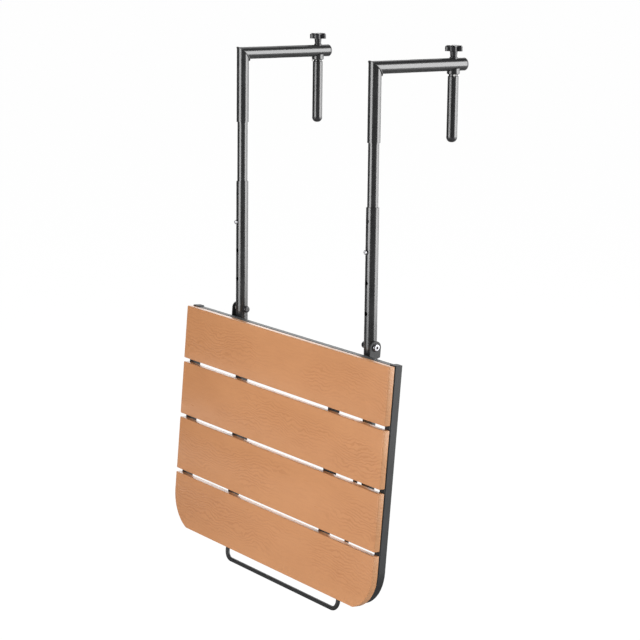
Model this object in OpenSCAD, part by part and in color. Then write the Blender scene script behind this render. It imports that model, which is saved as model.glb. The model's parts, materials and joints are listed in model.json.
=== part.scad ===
// Balcony railing bar table, hung on a railing with its tabletop folded down.
// Units are millimetres and +Z is up. +X runs along the railing and +Y points out over it.
// The origin is where the railing's top edge sits: midway between the two hooks, at the
// back of the posts (Y = 0) and at the underside of the arms (Z = 0).

/* [Tabletop] */
// Width of the tabletop along the railing
table_w = 600; // [520:10:800]
// Depth of the tabletop from its hinge edge to its outer edge
table_depth = 400; // [340:10:480]
// Thickness of the slats
slat_t = 12; // [10:0.5:18]
// Open gap between two slats
slat_gap = 7; // [4:0.5:12]
// Rounding along the edges of a slat
slat_edge_r = 1.5; // [0.5:0.25:3]
// Outer radius of the frame's and the last slat's lower corners
corner_r = 66; // [45:1:75]
// How far the last slat's corner arc is centred beyond the frame's
corner_drop = 3.5; // [0:0.5:6]
// How far the tabletop hangs swung out from the posts
swing_angle = 4.5; // [3:0.5:7]

/* [Frame] */
// Outer size of the frame's square tube
frame_tube = 15; // [12:1:20]
// Wall of the frame's square tube
frame_wall = 1.2; // [0.8:0.1:1.6]
// Outer corner radius of the square tube
frame_tube_r = 2; // [1.8:0.1:3]
// Distance between the centre lines of the two inner bars
inner_bar_spacing = 276; // [200:2:300]
// Thickness of the flange of a tube's end cap
end_cap_flange = 1.5; // [1.5:0.5:4]
// Rounding round the end of a post's cap
end_cap_r = 1; // [0.5:0.25:1.5]
// Length of a plug that sits inside a tube end
plug_length = 12; // [8:1:16]
// Play of a plug in its tube
plug_gap = 0.1; // [0.05:0.05:0.2]

/* [Slat screws] */
// Shank diameter of a slat screw
slat_screw_d = 4; // [3:0.5:5]
// Head diameter of a slat screw
slat_screw_head_d = 8; // [7:0.5:9.5]
// Diameter of a slat screw's head at its outer end
slat_screw_top_d = 5; // [4:0.5:6.5]
// Play of a slat screw in the frame
slat_screw_play = 0.1; // [0.05:0.05:0.3]
// Head height of a slat screw
slat_screw_head_h = 2.2; // [1.5:0.1:3]
// How deep a slat screw bites into the slat
slat_screw_bite = 8; // [5:0.5:8.5]
// Distance of a slat screw from the slat's edge
slat_screw_inset = 20; // [14:1:28]

/* [Posts] */
// Distance between the centre lines of the two posts
post_spacing = 380; // [340:5:420]
// Outer diameter of the posts and arms
tube_d = 21.3; // [18:0.1:26]
// Wall of the posts and arms
tube_wall = 1.5; // [1:0.1:2]
// Play of the inner slide tube in the lower tube
slide_gap = 0.15; // [0.1:0.05:0.3]
// Wall of the inner slide tube
inner_wall = 1.5; // [1:0.1:2]
// How far the upper tube reaches below the arm
upper_reach = 107.5; // [80:0.5:140]
// How far the inner tube is pushed up into the upper tube
inner_grip = 60; // [30:1:70]
// Bare length of the inner tube with the post pushed right up
bare_min = 2.5; // [1:0.5:10]
// Length of the lower tube below the pivot of the wire brace
post_tail = 80; // [30:1:90]

/* [Height setting] */
// Pitch of the height holes
hole_pitch = 50; // [40:1:60]
// Distance of the first height hole from the top of the lower tube
first_hole = 22; // [16:1:30]
// Diameter of a height hole
height_hole_d = 8; // [7.8:0.1:9]
// Diameter of the snap button
button_d = 7.2; // [6:0.1:7.4]
// How far the snap button stands out of the lower tube
button_out = 4.5; // [3:0.5:5]
// Rounding of the snap button's tip
button_dome_r = 2; // [1:0.25:3]
// How far the snap button's flange stands out round it
button_lip = 0.7; // [0.4:0.1:1]
// Thickness of the snap button's flange
button_flange_t = 1; // [0.6:0.1:1.5]
// Play of the snap button in the inner tube's hole
button_play = 0.3; // [0.1:0.05:0.4]
// Length of the inner tube below the snap button
button_tail = 23; // [16:1:28]
// Width of the snap spring's strip
spring_w = 9; // [7:0.5:9.5]
// Thickness of the snap spring's strip
spring_t = 0.8; // [0.5:0.1:1]
// Length of the snap spring's legs above the button
spring_leg = 34; // [24:1:44]
// Play of spring and button in the inner tube's bore
bore_play = 0.1; // [0.05:0.05:0.2]

/* [Hinge] */
// Distance of the hinge bolt below the last height hole
hinge_drop = 54; // [44:1:70]
// Gap between the back of the hanging frame and the posts
post_gap = 6.4; // [4:0.2:10]
// Gap between the raised tabletop's edge and the posts
edge_gap = 1.4; // [1:0.1:3]
// Diameter of the hinge bolt
bolt_d = 6; // [5:0.5:8]
// Diameter of the hinge bolt's head
bolt_head_d = 12; // [11:0.5:14]
// Height of the hinge bolt's head
bolt_head_h = 3.6; // [3:0.2:5]
// Width across the flats of the hinge bolt's hexagon socket
bolt_key_af = 4; // [3:0.5:5]
// Play of the hinge bolt in the ear
hinge_play = 0.08; // [0.04:0.01:0.1]
// Radius of the round end of a hinge ear
ear_r = 10.5; // [9.5:0.5:12]
// Thickness of a hinge ear
ear_t = 3; // [2:0.5:4]
// How far a hinge ear's rear edge runs down below the bolt
ear_drop = 16; // [10:1:18]
// Thickness of the nylon washer between post and ear
washer_t = 1; // [0.6:0.1:2]
// Side play of the ear between washer and bolt head
hinge_side_play = 0.1; // [0.05:0.05:0.2]
// Diameter of the cap nut
cap_nut_d = 12; // [11:0.5:14]
// Height of the cap nut
cap_nut_h = 7.5; // [6.5:0.5:10]
// Rounding of the cap nut's end
cap_nut_r = 3; // [1.5:0.5:4.5]

/* [Wire brace] */
// Diameter of the brace's rod
brace_d = 7.5; // [5:0.5:8]
// Distance of the brace pivot below the hinge bolt
brace_drop = 165; // [155:1:175]
// Gap between a leg of the brace and its post
brace_side_gap = 7; // [6:0.5:12]
// Bend radius of the brace's corners on the rod's centre line
brace_bend_r = 15; // [10:1:24]
// Bend radius at the brace's pivots on the rod's centre line
brace_pivot_bend_r = 8; // [7:0.5:9]
// How far the hanging crossbar lies beyond the tabletop's edge
brace_overhang = 35; // [26:1:45]
// Gap between the hanging crossbar and the frame's back
brace_rest_gap = 4.4; // [4.2:0.1:6]
// Play of the brace's ends in the posts
brace_play = 0.08; // [0.04:0.01:0.1]
// Diameter of the push caps on the brace's ends
push_cap_d = 12; // [10:0.5:14]
// Length of the push caps
push_cap_l = 6; // [5:0.5:9]
// Rounding of a push cap's end
push_cap_r = 2; // [1:0.25:3]
// Gap between a push cap and its post
push_cap_gap = 0.3; // [0.2:0.05:0.4]
// Thickness of a brace seat under the raised crossbar
seat_base = 2; // [1.5:0.25:3]
// Depth of the dish in a brace seat
seat_dish = 2; // [1:0.25:2]
// Radius of the dish in a brace seat
seat_dish_r = 14; // [12:1:18]
// Gap between the raised crossbar and its seats
seat_gap = 0.3; // [0.2:0.05:0.4]

/* [Railing clamp] */
// Clear space between post and clamp tube with the clamp right out
rail_gap = 138; // [110:2:180]
// Clear space between post and clamp tube with the clamp right in
rail_min = 50; // [40:5:80]
// How far the arm runs on beyond the clamp's axis
arm_tail = 25; // [24:1:45]
// Diameter of the clamp tube
clamp_tube_d = 18; // [17:0.5:20]
// How far the clamp reaches below the arm
clamp_drop = 115; // [80:1:150]
// Diameter of the saddle collar under the arm
collar_d = 21.4; // [20.6:0.2:24]
// Depth of the saddle collar below the arm
collar_h = 5; // [4:0.5:12]
// Chamfer round the saddle collar's lower edge
collar_chamfer = 1.2; // [0.5:0.1:2]
// Bare height of the spigot between the collar and the clamp tube
collar_neck = 2.5; // [1:0.5:4]
// Rounding of the clamp tube's upper edge
shoulder_r = 1.3; // [0.5:0.1:1.4]
// How far the saddle collar wraps up the arm's sides
collar_wrap = 4.5; // [3:0.5:6]
// Length of the collar's spigot inside the clamp tube
spigot_l = 14; // [12:1:20]
// Gap between the arm and the saddles that slide on it
saddle_gap = 0.3; // [0.2:0.05:0.4]
// Diameter of the clamp screw
screw_d = 6; // [5:0.5:7]
// Play of the clamp screw in its nut and in the slot
screw_play = 0.08; // [0.04:0.01:0.1]
// Side play of the clamp screw in the arm's slot
slot_play = 0.5; // [0.3:0.1:1]
// Width across the flats of the captive nut
nut_af = 10; // [9.6:0.1:10.8]
// Height of the captive nut
nut_h = 5; // [4:0.5:6]
// How far the clamp screw runs on below its nut
screw_tail = 6; // [3:1:12]

/* [Knob] */
// Diameter of the knob over its lobes
knob_d = 28.5; // [25:0.5:34]
// Width of a lobe
lobe_w = 9.5; // [8:0.5:11]
// Depth of the knob's skirt
skirt_h = 8; // [6:0.5:9]
// Wall of the knob's skirt and top
knob_wall = 2; // [1.6:0.2:2.4]
// Height of the knob's hub below the skirt
hub_h = 9; // [7:0.5:12]
// Diameter of the hub where it meets the head
hub_top_d = 14; // [12:0.5:16]
// Diameter of the hub at its foot
hub_foot_d = 11; // [10:0.5:12]
// Radius of the round core of the knob's head
knob_core_r = 8; // [7.5:0.5:9]
// Height of the dome on top of the knob
dome_h = 1.6; // [1:0.2:3]
// Diameter of the saddle washer under the knob
saddle_washer_d = 13.5; // [12:0.5:15]
// Thickness of the saddle washer above the arm
saddle_washer_t = 1.2; // [0.8:0.1:2]
// Gap between the knob and its saddle washer
knob_gap = 0.1; // [0.05:0.05:0.2]

/* [Round caps] */
// Length of the domed part of an arm end cap
arm_cap_l = 5; // [4:0.5:8]
// Edge radius of an arm end cap
arm_cap_r = 4; // [2:0.5:4]
// Length of the domed foot of a clamp tube
foot_l = 9; // [8:0.5:12]
// Edge radius of a clamp tube's foot
foot_r = 8; // [3:0.5:8]
// Wall at the closed end of cap nuts and push caps
cap_wall = 2; // [1.5:0.25:3]

/* [Hidden] */
$fn = 64;

LEFT = -1;
RIGHT = 1;
// How far a cutting body runs past the face it opens
cut = 0.5;

steel = [0.24, 0.25, 0.26];
dark_steel = [0.17, 0.18, 0.19];
plastic = [0.10, 0.10, 0.11];
zinc = [0.72, 0.73, 0.75];
nylon = [0.86, 0.86, 0.84];
wood = [0.80, 0.58, 0.40];

// Height setting: the button rests in the second hole, counted from the top
hole_count = 4;
rest_hole = 2;
bare_length = bare_min + hole_pitch * (hole_count - rest_hole);
lower_top_z = -upper_reach - bare_length;
button_z = lower_top_z - first_hole - (rest_hole - 1) * hole_pitch;
hinge_z = lower_top_z - first_hole - (hole_count - 1) * hole_pitch - hinge_drop;
brace_z = hinge_z - brace_drop;
lower_end_z = brace_z - post_tail;
inner_tube_d = tube_d - 2 * tube_wall - 2 * slide_gap;
inner_bore = inner_tube_d - 2 * inner_wall;

// Posts stand with their backs against the railing, and the arms lie on it
tube_r = tube_d / 2;
post_x = post_spacing / 2;
post_y = -tube_r;
arm_z = tube_r;
clamp_y = rail_gap + clamp_tube_d / 2;
clamp_travel = rail_gap - rail_min;
arm_end_y = clamp_y + arm_tail;
slot_w = screw_d + 2 * slot_play;

// Snap button and spring inside the bore of the inner tube
button_flange_d = button_d + 2 * button_lip;
button_flange_y = -sqrt(pow(inner_bore / 2, 2) - pow(button_flange_d / 2, 2)) + bore_play;
button_length = tube_r + button_out + button_flange_y;
button_travel = tube_r + button_out - inner_tube_d / 2;
spring_front_y = button_flange_y + button_flange_t;
spring_back_y = sqrt(pow(inner_bore / 2, 2) - pow(spring_w / 2, 2)) - bore_play;
spring_fold_r = (spring_back_y - spring_front_y) / 2;

// Railing clamp, and the knob's foot on its saddle washer
nut_corner_d = nut_af / cos(30);
clamp_hole_d = screw_d + 2 * slot_play;
knob_z = tube_d + saddle_gap + saddle_washer_t + knob_gap;
screw_top = hub_h + skirt_h - knob_wall;
clamp_tube_top = -collar_h - collar_neck;
spigot_low_z = clamp_tube_top - spigot_l;
screw_low_z = spigot_low_z - screw_tail;

// Tabletop in its own coordinates: the hinge axis is the origin, Y runs from the slats'
// faces back towards the posts, and Z runs up the hanging tabletop
slat_count = 4;
slat_w = (table_depth - (slat_count - 1) * slat_gap) / slat_count;
slat_pitch = slat_w + slat_gap;
face_y = -(slat_t + frame_tube + post_gap + tube_r);
frame_y = face_y + slat_t;
back_y = frame_y + frame_tube;
edge_z = -(tube_r + edge_gap);
far_z = edge_z - table_depth;
bar_y = frame_y + frame_tube / 2;
inner_bar_x = inner_bar_spacing / 2;
side_bar_x = table_w / 2 - frame_tube / 2;

// Slat screws: two at each crossing, apart from the last slat's round corners
frame_hole_d = slat_screw_d + 2 * slat_screw_play;
function slat_top(i) = edge_z - i * slat_pitch;
slat_rows = [
    for (i = [0 : slat_count - 1])
        for (low = [0, 1])
            slat_top(i) - (low == 0 ? slat_screw_inset : slat_w - slat_screw_inset)
];
inner_screws = [for (z = slat_rows) for (s = [-1, 1]) [s * inner_bar_x, z]];
side_screws = [
    for (k = [0 : len(slat_rows) - 2])
        for (s = [-1, 1]) [s * side_bar_x, slat_rows[k]]
];
end_screw_x = (inner_bar_x + side_bar_x) / 2;
end_screws = [for (s = [-1, 1]) [s * end_screw_x, far_z + frame_tube / 2]];

all_screws = concat(inner_screws, side_screws, end_screws);
function slat_screw_places(i) = [
    for (p = all_screws)
        if (p[1] < slat_top(i) && p[1] > slat_top(i) - slat_w) p
];

// Hinge: the ear stands outside the post on a nylon washer
ear_x = tube_r + washer_t + hinge_side_play;
bolt_head_x = ear_x + ear_t + hinge_side_play;

// Brace: hanging angle and length follow from where its crossbar lies
brace_r = brace_d / 2;
hang_y = back_y + brace_rest_gap + brace_r;
hang_z = far_z - brace_overhang;
crossbar_y = hang_y * cos(swing_angle) + hang_z * sin(swing_angle);
crossbar_z = hang_z * cos(swing_angle) - hang_y * sin(swing_angle);
brace_l = norm([crossbar_y, crossbar_z + brace_drop]);
brace_angle = atan2(-crossbar_y, -(crossbar_z + brace_drop));
brace_leg_x = post_x - tube_r - brace_side_gap - brace_r;
brace_end_x = post_x + tube_r + push_cap_gap + push_cap_l - cap_wall;

// Seats: where the crossbar meets the inner bars with the tabletop level
seat_y = back_y + seat_base + seat_gap + brace_r;
raised_angle = acos((seat_y - brace_drop) / brace_l);
seat_z = -brace_l * sin(raised_angle);
seat_half = sqrt(pow(seat_dish_r, 2) - pow(seat_dish_r - seat_dish, 2));

// Profiles

module rounded_rect(w, h, r) {
    square([w, h - 2 * r], center = true);
    square([w - 2 * r, h], center = true);
    for (x = [-1, 1]) {
        for (y = [-1, 1]) {
            translate([x * (w / 2 - r), y * (h / 2 - r)]) circle(r);
        }
    }
}

module square_tube_profile() {
    difference() {
        rounded_rect(frame_tube, frame_tube, frame_tube_r);
        rounded_rect(
            frame_tube - 2 * frame_wall,
            frame_tube - 2 * frame_wall,
            frame_tube_r - frame_wall
        );
    }
}

// Half profile of a round-edged plug, from its domed end at Z = 0 upwards
module dome_half(r, l, edge) {
    square([r - edge, l]);
    translate([0, edge]) square([r, l - edge]);
    intersection() {
        translate([r - edge, edge]) circle(edge);
        square([r, l]);
    }
}

// Round tube along +Z
module round_tube(d, wall, l) {
    difference() {
        cylinder(d = d, h = l);
        translate([0, 0, -cut]) cylinder(d = d - 2 * wall, h = l + 2 * cut);
    }
}

// Round rod along +Z, and a quarter bend of it that starts along +Z at the origin
// and turns towards +X
module rod(l) {
    cylinder(d = brace_d, h = l);
}

module rod_bend(r) {
    translate([r, 0, 0])
        rotate([90, 0, 0])
            rotate([0, 0, 90])
                rotate_extrude(angle = 90)
                    translate([r, 0]) circle(brace_r);
}

// Places

module on_side(side) {
    mirror([side == LEFT ? 1 : 0, 0, 0]) translate([post_x, 0, 0]) children();
}

module at_post(side) {
    on_side(side) translate([0, post_y, 0]) children();
}

module at_clamp(side) {
    on_side(side) translate([0, clamp_y, 0]) children();
}

module at_hinge(side) {
    at_post(side) translate([0, 0, hinge_z]) children();
}

module on_table() {
    translate([0, post_y, hinge_z]) rotate([-swing_angle, 0, 0]) children();
}

module on_brace() {
    translate([0, post_y, brace_z]) rotate([-brace_angle, 0, 0]) children();
}

// Holes along Y at a list of [x, z] places of the tabletop
module table_holes(places, d, from_y, to_y) {
    for (p = places) {
        translate([p[0], from_y, p[1]])
            rotate([-90, 0, 0])
                cylinder(d = d, h = to_y - from_y, $fn = 24);
    }
}

// Hooks

// Keeps the side of the 45 degree mitre that the sign names: -1 post, 1 arm
module mitre_side(sign) {
    reach = 4 * (clamp_y + arm_tail + upper_reach);
    intersection() {
        children();
        translate([0, 0, arm_z])
            rotate([-45, 0, 0])
                translate([-tube_d, -reach / 2, sign > 0 ? 0 : -reach])
                    cube([2 * tube_d, reach, reach]);
    }
}

module upright(side) {
    color(steel)
        at_post(side)
            mitre_side(-1)
                translate([0, 0, -upper_reach])
                    round_tube(tube_d, tube_wall, upper_reach + tube_d);
}

// Slot for the clamp screw, right through the arm
module arm_slot() {
    for (y = [clamp_y - clamp_travel, clamp_y]) {
        translate([0, y, -cut]) cylinder(d = slot_w, h = tube_d + 2 * cut);
    }
    translate([-slot_w / 2, clamp_y - clamp_travel, -cut])
        cube([slot_w, clamp_travel, tube_d + 2 * cut]);
}

module arm(side) {
    color(steel)
        on_side(side)
            difference() {
                translate([0, post_y, 0])
                    mitre_side(1)
                        translate([0, -tube_r, arm_z])
                            rotate([-90, 0, 0])
                                round_tube(tube_d, tube_wall, arm_end_y + tube_d - arm_cap_l);
                arm_slot();
            }
}

module arm_cap(side) {
    bore_r = tube_r - tube_wall;
    color(plastic)
        on_side(side)
            translate([0, arm_end_y, arm_z])
                rotate([90, 0, 0]) {
                    rotate_extrude() dome_half(tube_r, arm_cap_l, arm_cap_r);
                    translate([0, 0, arm_cap_l - cut])
                        cylinder(r = bore_r - plug_gap, h = plug_length + cut);
                }
}

module inner_tube(side) {
    low = button_z - button_tail;
    high = -upper_reach + inner_grip;
    color(steel)
        at_post(side)
            difference() {
                union() {
                    translate([0, 0, low]) round_tube(inner_tube_d, inner_wall, high - low);
                    translate([0, 0, -upper_reach])
                        round_tube(tube_d - 2 * tube_wall, inner_wall + slide_gap, inner_grip);
                }
                translate([0, 0, button_z])
                    rotate([90, 0, 0])
                        cylinder(d = button_d + 2 * button_play, h = tube_d);
            }
}

// Snap button: a domed pin with a flange inside the inner tube
module snap_button(side) {
    color(zinc)
        at_post(side)
            translate([0, 0, button_z])
                rotate([90, 0, 0]) {
                    translate([0, 0, -button_flange_y - button_flange_t])
                        cylinder(d = button_flange_d, h = button_flange_t);
                    translate([0, 0, tube_r + button_out])
                        mirror([0, 0, 1])
                            rotate_extrude()
                                dome_half(button_d / 2, button_length, button_dome_r);
                }
}

// Snap spring: a V of flat strip with its fold above the button
module snap_spring(side) {
    color(zinc)
        at_post(side)
            translate([0, 0, button_z]) {
                for (y = [spring_front_y, spring_back_y - spring_t]) {
                    translate([-spring_w / 2, y, -button_flange_d / 2])
                        cube([spring_w, spring_t, spring_leg + button_flange_d / 2]);
                }
                translate([-spring_w / 2, spring_front_y + spring_fold_r, spring_leg])
                    rotate([90, 0, 90])
                        rotate_extrude(angle = 180)
                            translate([spring_fold_r - spring_t, 0])
                                square([spring_t, spring_w]);
            }
}

// Railing clamp

// Room for the arm in a saddle that slides along it
module arm_room() {
    translate([0, 0, arm_z])
        rotate([90, 0, 0])
            cylinder(r = tube_r + saddle_gap, h = 2 * collar_d, center = true);
}

// Saddle collar: a round body that wraps the arm from below, on a narrower spigot that
// shows as a neck above the clamp tube
module saddle_collar(side) {
    color(steel)
        at_clamp(side)
            difference() {
                union() {
                    translate([0, 0, -collar_h])
                        cylinder(
                            d1 = collar_d - 2 * collar_chamfer,
                            d2 = collar_d,
                            h = collar_chamfer
                        );
                    translate([0, 0, -collar_h + collar_chamfer])
                        cylinder(d = collar_d, h = collar_h - collar_chamfer + collar_wrap);
                    translate([0, 0, spigot_low_z])
                        cylinder(
                            d = clamp_tube_d - 2 * tube_wall - 2 * plug_gap,
                            h = spigot_l + collar_neck + cut
                        );
                }
                arm_room();
                translate([0, 0, spigot_low_z - cut])
                    cylinder(d = clamp_hole_d, h = tube_d - spigot_low_z);
                translate([0, 0, spigot_low_z - cut])
                    cylinder(d = nut_corner_d + 2 * plug_gap, h = nut_h + cut, $fn = 6);
            }
}

module clamp_nut(side) {
    color(zinc)
        at_clamp(side)
            translate([0, 0, spigot_low_z])
                difference() {
                    cylinder(d = nut_corner_d, h = nut_h, $fn = 6);
                    translate([0, 0, -cut])
                        cylinder(d = screw_d + 2 * screw_play, h = nut_h + 2 * cut);
                }
}

// Clamp tube with a rounded shoulder at its upper end
module clamp_tube(side) {
    length = clamp_tube_top + clamp_drop - foot_l;
    color(steel)
        at_clamp(side)
            difference() {
                translate([0, 0, clamp_tube_top])
                    mirror([0, 0, 1])
                        rotate_extrude() dome_half(clamp_tube_d / 2, length, shoulder_r);
                translate([0, 0, clamp_tube_top - length - cut])
                    cylinder(d = clamp_tube_d - 2 * tube_wall, h = length + 2 * cut);
            }
}

module clamp_foot(side) {
    bore_r = clamp_tube_d / 2 - tube_wall;
    color(plastic)
        at_clamp(side)
            translate([0, 0, -clamp_drop]) {
                rotate_extrude() dome_half(clamp_tube_d / 2, foot_l, foot_r);
                translate([0, 0, foot_l - cut])
                    cylinder(r = bore_r - plug_gap, h = plug_length + cut);
            }
}

module saddle_washer(side) {
    color(plastic)
        at_clamp(side)
            difference() {
                translate([0, 0, arm_z])
                    cylinder(d = saddle_washer_d, h = tube_r + saddle_gap + saddle_washer_t);
                arm_room();
                cylinder(d = clamp_hole_d, h = 3 * tube_d);
            }
}

// Knob: a hollow four-lobed head on a tapered hub

module lobed_outline(inset) {
    lobe_r = lobe_w / 2;
    circle(knob_core_r - inset);
    for (a = [45 : 90 : 315]) {
        rotate(a) {
            translate([knob_d / 2 - lobe_r, 0]) circle(lobe_r - inset);
            translate([0, -lobe_r + inset])
                square([knob_d / 2 - lobe_r, lobe_w - 2 * inset]);
        }
    }
}

module knob(side) {
    color(plastic)
        at_clamp(side)
            translate([0, 0, knob_z])
                difference() {
                    union() {
                        difference() {
                            translate([0, 0, hub_h])
                                linear_extrude(skirt_h) lobed_outline(0);
                            translate([0, 0, hub_h - cut])
                                linear_extrude(skirt_h - knob_wall + cut)
                                    lobed_outline(knob_wall);
                        }
                        cylinder(d1 = hub_foot_d, d2 = hub_top_d, h = hub_h);
                        translate([0, 0, hub_h])
                            cylinder(d = hub_top_d, h = skirt_h - knob_wall + cut);
                        translate([0, 0, hub_h + skirt_h]) knob_dome();
                    }
                    translate([0, 0, -cut]) cylinder(d = screw_d, h = screw_top + cut);
                }
}

// Shallow spherical cap on the middle of the head
module knob_dome() {
    ball_r = (pow(knob_core_r, 2) + pow(dome_h, 2)) / (2 * dome_h);
    rotate_extrude()
        intersection() {
            translate([0, dome_h - ball_r]) circle(ball_r, $fn = 128);
            square([knob_core_r, dome_h]);
        }
}

module clamp_screw(side) {
    color(zinc)
        at_clamp(side)
            translate([0, 0, screw_low_z])
                cylinder(d = screw_d, h = knob_z + screw_top - screw_low_z);
}

// Posts

module lower_tube(side) {
    color(steel)
        at_post(side)
            difference() {
                translate([0, 0, lower_end_z])
                    round_tube(tube_d, tube_wall, lower_top_z - lower_end_z);
                for (i = [0 : hole_count - 1]) {
                    translate([0, 0, lower_top_z - first_hole - i * hole_pitch])
                        rotate([90, 0, 0])
                            cylinder(d = height_hole_d, h = tube_d);
                }
                translate([-tube_d, 0, hinge_z])
                    rotate([0, 90, 0])
                        cylinder(d = bolt_d + 2 * hinge_play, h = 2 * tube_d);
                translate([-tube_d, 0, brace_z])
                    rotate([0, 90, 0])
                        cylinder(d = brace_d + 2 * brace_play, h = 2 * tube_d);
            }
}

module tube_plug(side) {
    color(plastic)
        at_post(side)
            translate([0, 0, lower_end_z - end_cap_flange]) {
                rotate_extrude() dome_half(tube_r, end_cap_flange, end_cap_r);
                translate([0, 0, end_cap_flange - cut])
                    cylinder(r = tube_r - tube_wall - plug_gap, h = plug_length + cut);
            }
}

module hinge_bolt(side) {
    shank_from = -tube_r - cap_nut_h + cap_wall;
    color(zinc)
        at_hinge(side)
            rotate([0, 90, 0])
                difference() {
                    union() {
                        translate([0, 0, shank_from])
                            cylinder(d = bolt_d, h = bolt_head_x - shank_from);
                        translate([0, 0, bolt_head_x + bolt_head_h])
                            mirror([0, 0, 1])
                                rotate_extrude()
                                    dome_half(bolt_head_d / 2, bolt_head_h, bolt_head_h / 2);
                    }
                    translate([0, 0, bolt_head_x + bolt_head_h / 3])
                        cylinder(d = bolt_key_af / cos(30), h = bolt_head_h, $fn = 6);
                }
}

module hinge_washer(side) {
    color(nylon)
        at_hinge(side)
            rotate([0, 90, 0])
                translate([0, 0, tube_r])
                    difference() {
                        cylinder(d = cap_nut_d, h = washer_t);
                        translate([0, 0, -cut])
                            cylinder(d = bolt_d + 2 * hinge_play, h = washer_t + 2 * cut);
                    }
}

module cap_nut(side) {
    color(plastic)
        at_hinge(side)
            rotate([0, 90, 0])
                translate([0, 0, -tube_r - cap_nut_h])
                    difference() {
                        rotate_extrude() dome_half(cap_nut_d / 2, cap_nut_h, cap_nut_r);
                        translate([0, 0, cap_wall]) cylinder(d = bolt_d, h = cap_nut_h);
                    }
}

// Tabletop

module hoop_bend(side) {
    translate([side * (table_w / 2 - corner_r), bar_y, far_z + corner_r])
        rotate([90, 0, 0])
            rotate([0, 0, side == RIGHT ? 270 : 180])
                rotate_extrude(angle = 90)
                    translate([corner_r - frame_tube / 2, 0]) square_tube_profile();
}

module frame_hoop() {
    color(dark_steel)
        on_table()
            difference() {
                union() {
                    for (side = [LEFT, RIGHT]) {
                        translate([side * side_bar_x, bar_y, far_z + corner_r])
                            linear_extrude(table_depth - corner_r) square_tube_profile();
                        hoop_bend(side);
                    }
                    translate([0, bar_y, far_z + frame_tube / 2])
                        rotate([90, 0, 90])
                            linear_extrude(table_w - 2 * corner_r, center = true)
                                square_tube_profile();
                }
                table_holes(concat(side_screws, end_screws), frame_hole_d, frame_y - cut, back_y + cut);
            }
}

module top_rail() {
    color(dark_steel)
        on_table()
            translate([0, bar_y, edge_z - frame_tube / 2])
                rotate([90, 0, 90])
                    linear_extrude(table_w - 2 * frame_tube, center = true)
                        square_tube_profile();
}

module inner_bar(side) {
    color(dark_steel)
        on_table()
            difference() {
                translate([side * inner_bar_x, bar_y, far_z + frame_tube])
                    linear_extrude(table_depth - 2 * frame_tube) square_tube_profile();
                table_holes(inner_screws, frame_hole_d, frame_y - cut, back_y + cut);
            }
}

module end_cap(side) {
    plug = frame_tube - 2 * frame_wall - 2 * plug_gap;
    color(plastic)
        on_table()
            translate([side * side_bar_x, bar_y, edge_z]) {
                linear_extrude(end_cap_flange)
                    rounded_rect(frame_tube, frame_tube, frame_tube_r);
                translate([0, 0, -plug_length])
                    linear_extrude(plug_length + cut)
                        rounded_rect(plug, plug, frame_tube_r - frame_wall);
            }
}

// Hinge ear: a plate that stands upright round the hinge bolt, with a foot that runs
// forwards to the top rail's back below the rail's rounded edge
module ear_web() {
    foot_z = edge_z - frame_tube_r;
    polygon([
        [back_y, edge_z - frame_tube],
        [back_y, foot_z],
        [-ear_r, foot_z],
        [-ear_r, 0],
        [ear_r, 0],
        [ear_r, -ear_drop]
    ]);
}

module hinge_ear(side) {
    color(dark_steel)
        on_table()
            mirror([side == LEFT ? 1 : 0, 0, 0])
                translate([post_x + ear_x, 0, 0])
                    rotate([90, 0, 90])
                        difference() {
                            union() {
                                cylinder(r = ear_r, h = ear_t);
                                linear_extrude(ear_t) ear_web();
                            }
                            translate([0, 0, -cut])
                                cylinder(d = bolt_d + 2 * hinge_play, h = ear_t + 2 * cut);
                        }
}

module brace_seat(side) {
    color(dark_steel)
        on_table()
            difference() {
                translate([side * inner_bar_x, back_y, seat_z])
                    difference() {
                        translate([-frame_tube / 2, 0, -seat_half])
                            cube([frame_tube, seat_base + seat_dish, 2 * seat_half]);
                        translate([0, seat_base + seat_dish_r, 0])
                            rotate([0, 90, 0])
                                cylinder(r = seat_dish_r, h = 2 * frame_tube, center = true);
                    }
                table_holes(
                    inner_screws,
                    slat_screw_head_d + 2 * seat_gap,
                    back_y - cut,
                    back_y + seat_base + seat_dish + cut
                );
            }
}

// Outline of the tabletop's lower end, with its two corner arcs
module corner_plan() {
    arc_z = far_z + corner_r - corner_drop;
    intersection() {
        union() {
            translate([-table_w / 2, arc_z]) square([table_w, table_depth]);
            translate([-table_w / 2 + corner_r, far_z - corner_r])
                square([table_w - 2 * corner_r, table_depth]);
            for (side = [LEFT, RIGHT]) {
                translate([side * (table_w / 2 - corner_r), arc_z]) circle(corner_r);
            }
        }
        translate([-table_w, far_z]) square([2 * table_w, 2 * table_depth]);
    }
}

module slat_bar(i) {
    translate([0, face_y + slat_t / 2, slat_top(i) - slat_w / 2])
        intersection() {
            rotate([90, 0, 90])
                linear_extrude(table_w, center = true)
                    rounded_rect(slat_t, slat_w, slat_edge_r);
            linear_extrude(slat_w, center = true)
                rounded_rect(table_w, slat_t, slat_edge_r);
        }
}

module slat(i) {
    color(wood)
        on_table()
            difference() {
                if (i == slat_count - 1) {
                    intersection() {
                        slat_bar(i);
                        translate([0, face_y + slat_t + cut, 0])
                            rotate([90, 0, 0])
                                linear_extrude(slat_t + 2 * cut) corner_plan();
                    }
                } else {
                    slat_bar(i);
                }
                table_holes(
                    slat_screw_places(i),
                    slat_screw_d,
                    frame_y - slat_screw_bite,
                    frame_y + cut
                );
            }
}

module slat_screws() {
    color(zinc)
        on_table()
            for (p = all_screws) {
                translate([p[0], back_y, p[1]])
                    rotate([90, 0, 0]) {
                        cylinder(d = slat_screw_d, h = frame_tube + slat_screw_bite, $fn = 24);
                        translate([0, 0, -slat_screw_head_h])
                            cylinder(
                                d1 = slat_screw_top_d,
                                d2 = slat_screw_head_d,
                                h = slat_screw_head_h,
                                $fn = 24
                            );
                    }
            }
}

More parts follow.
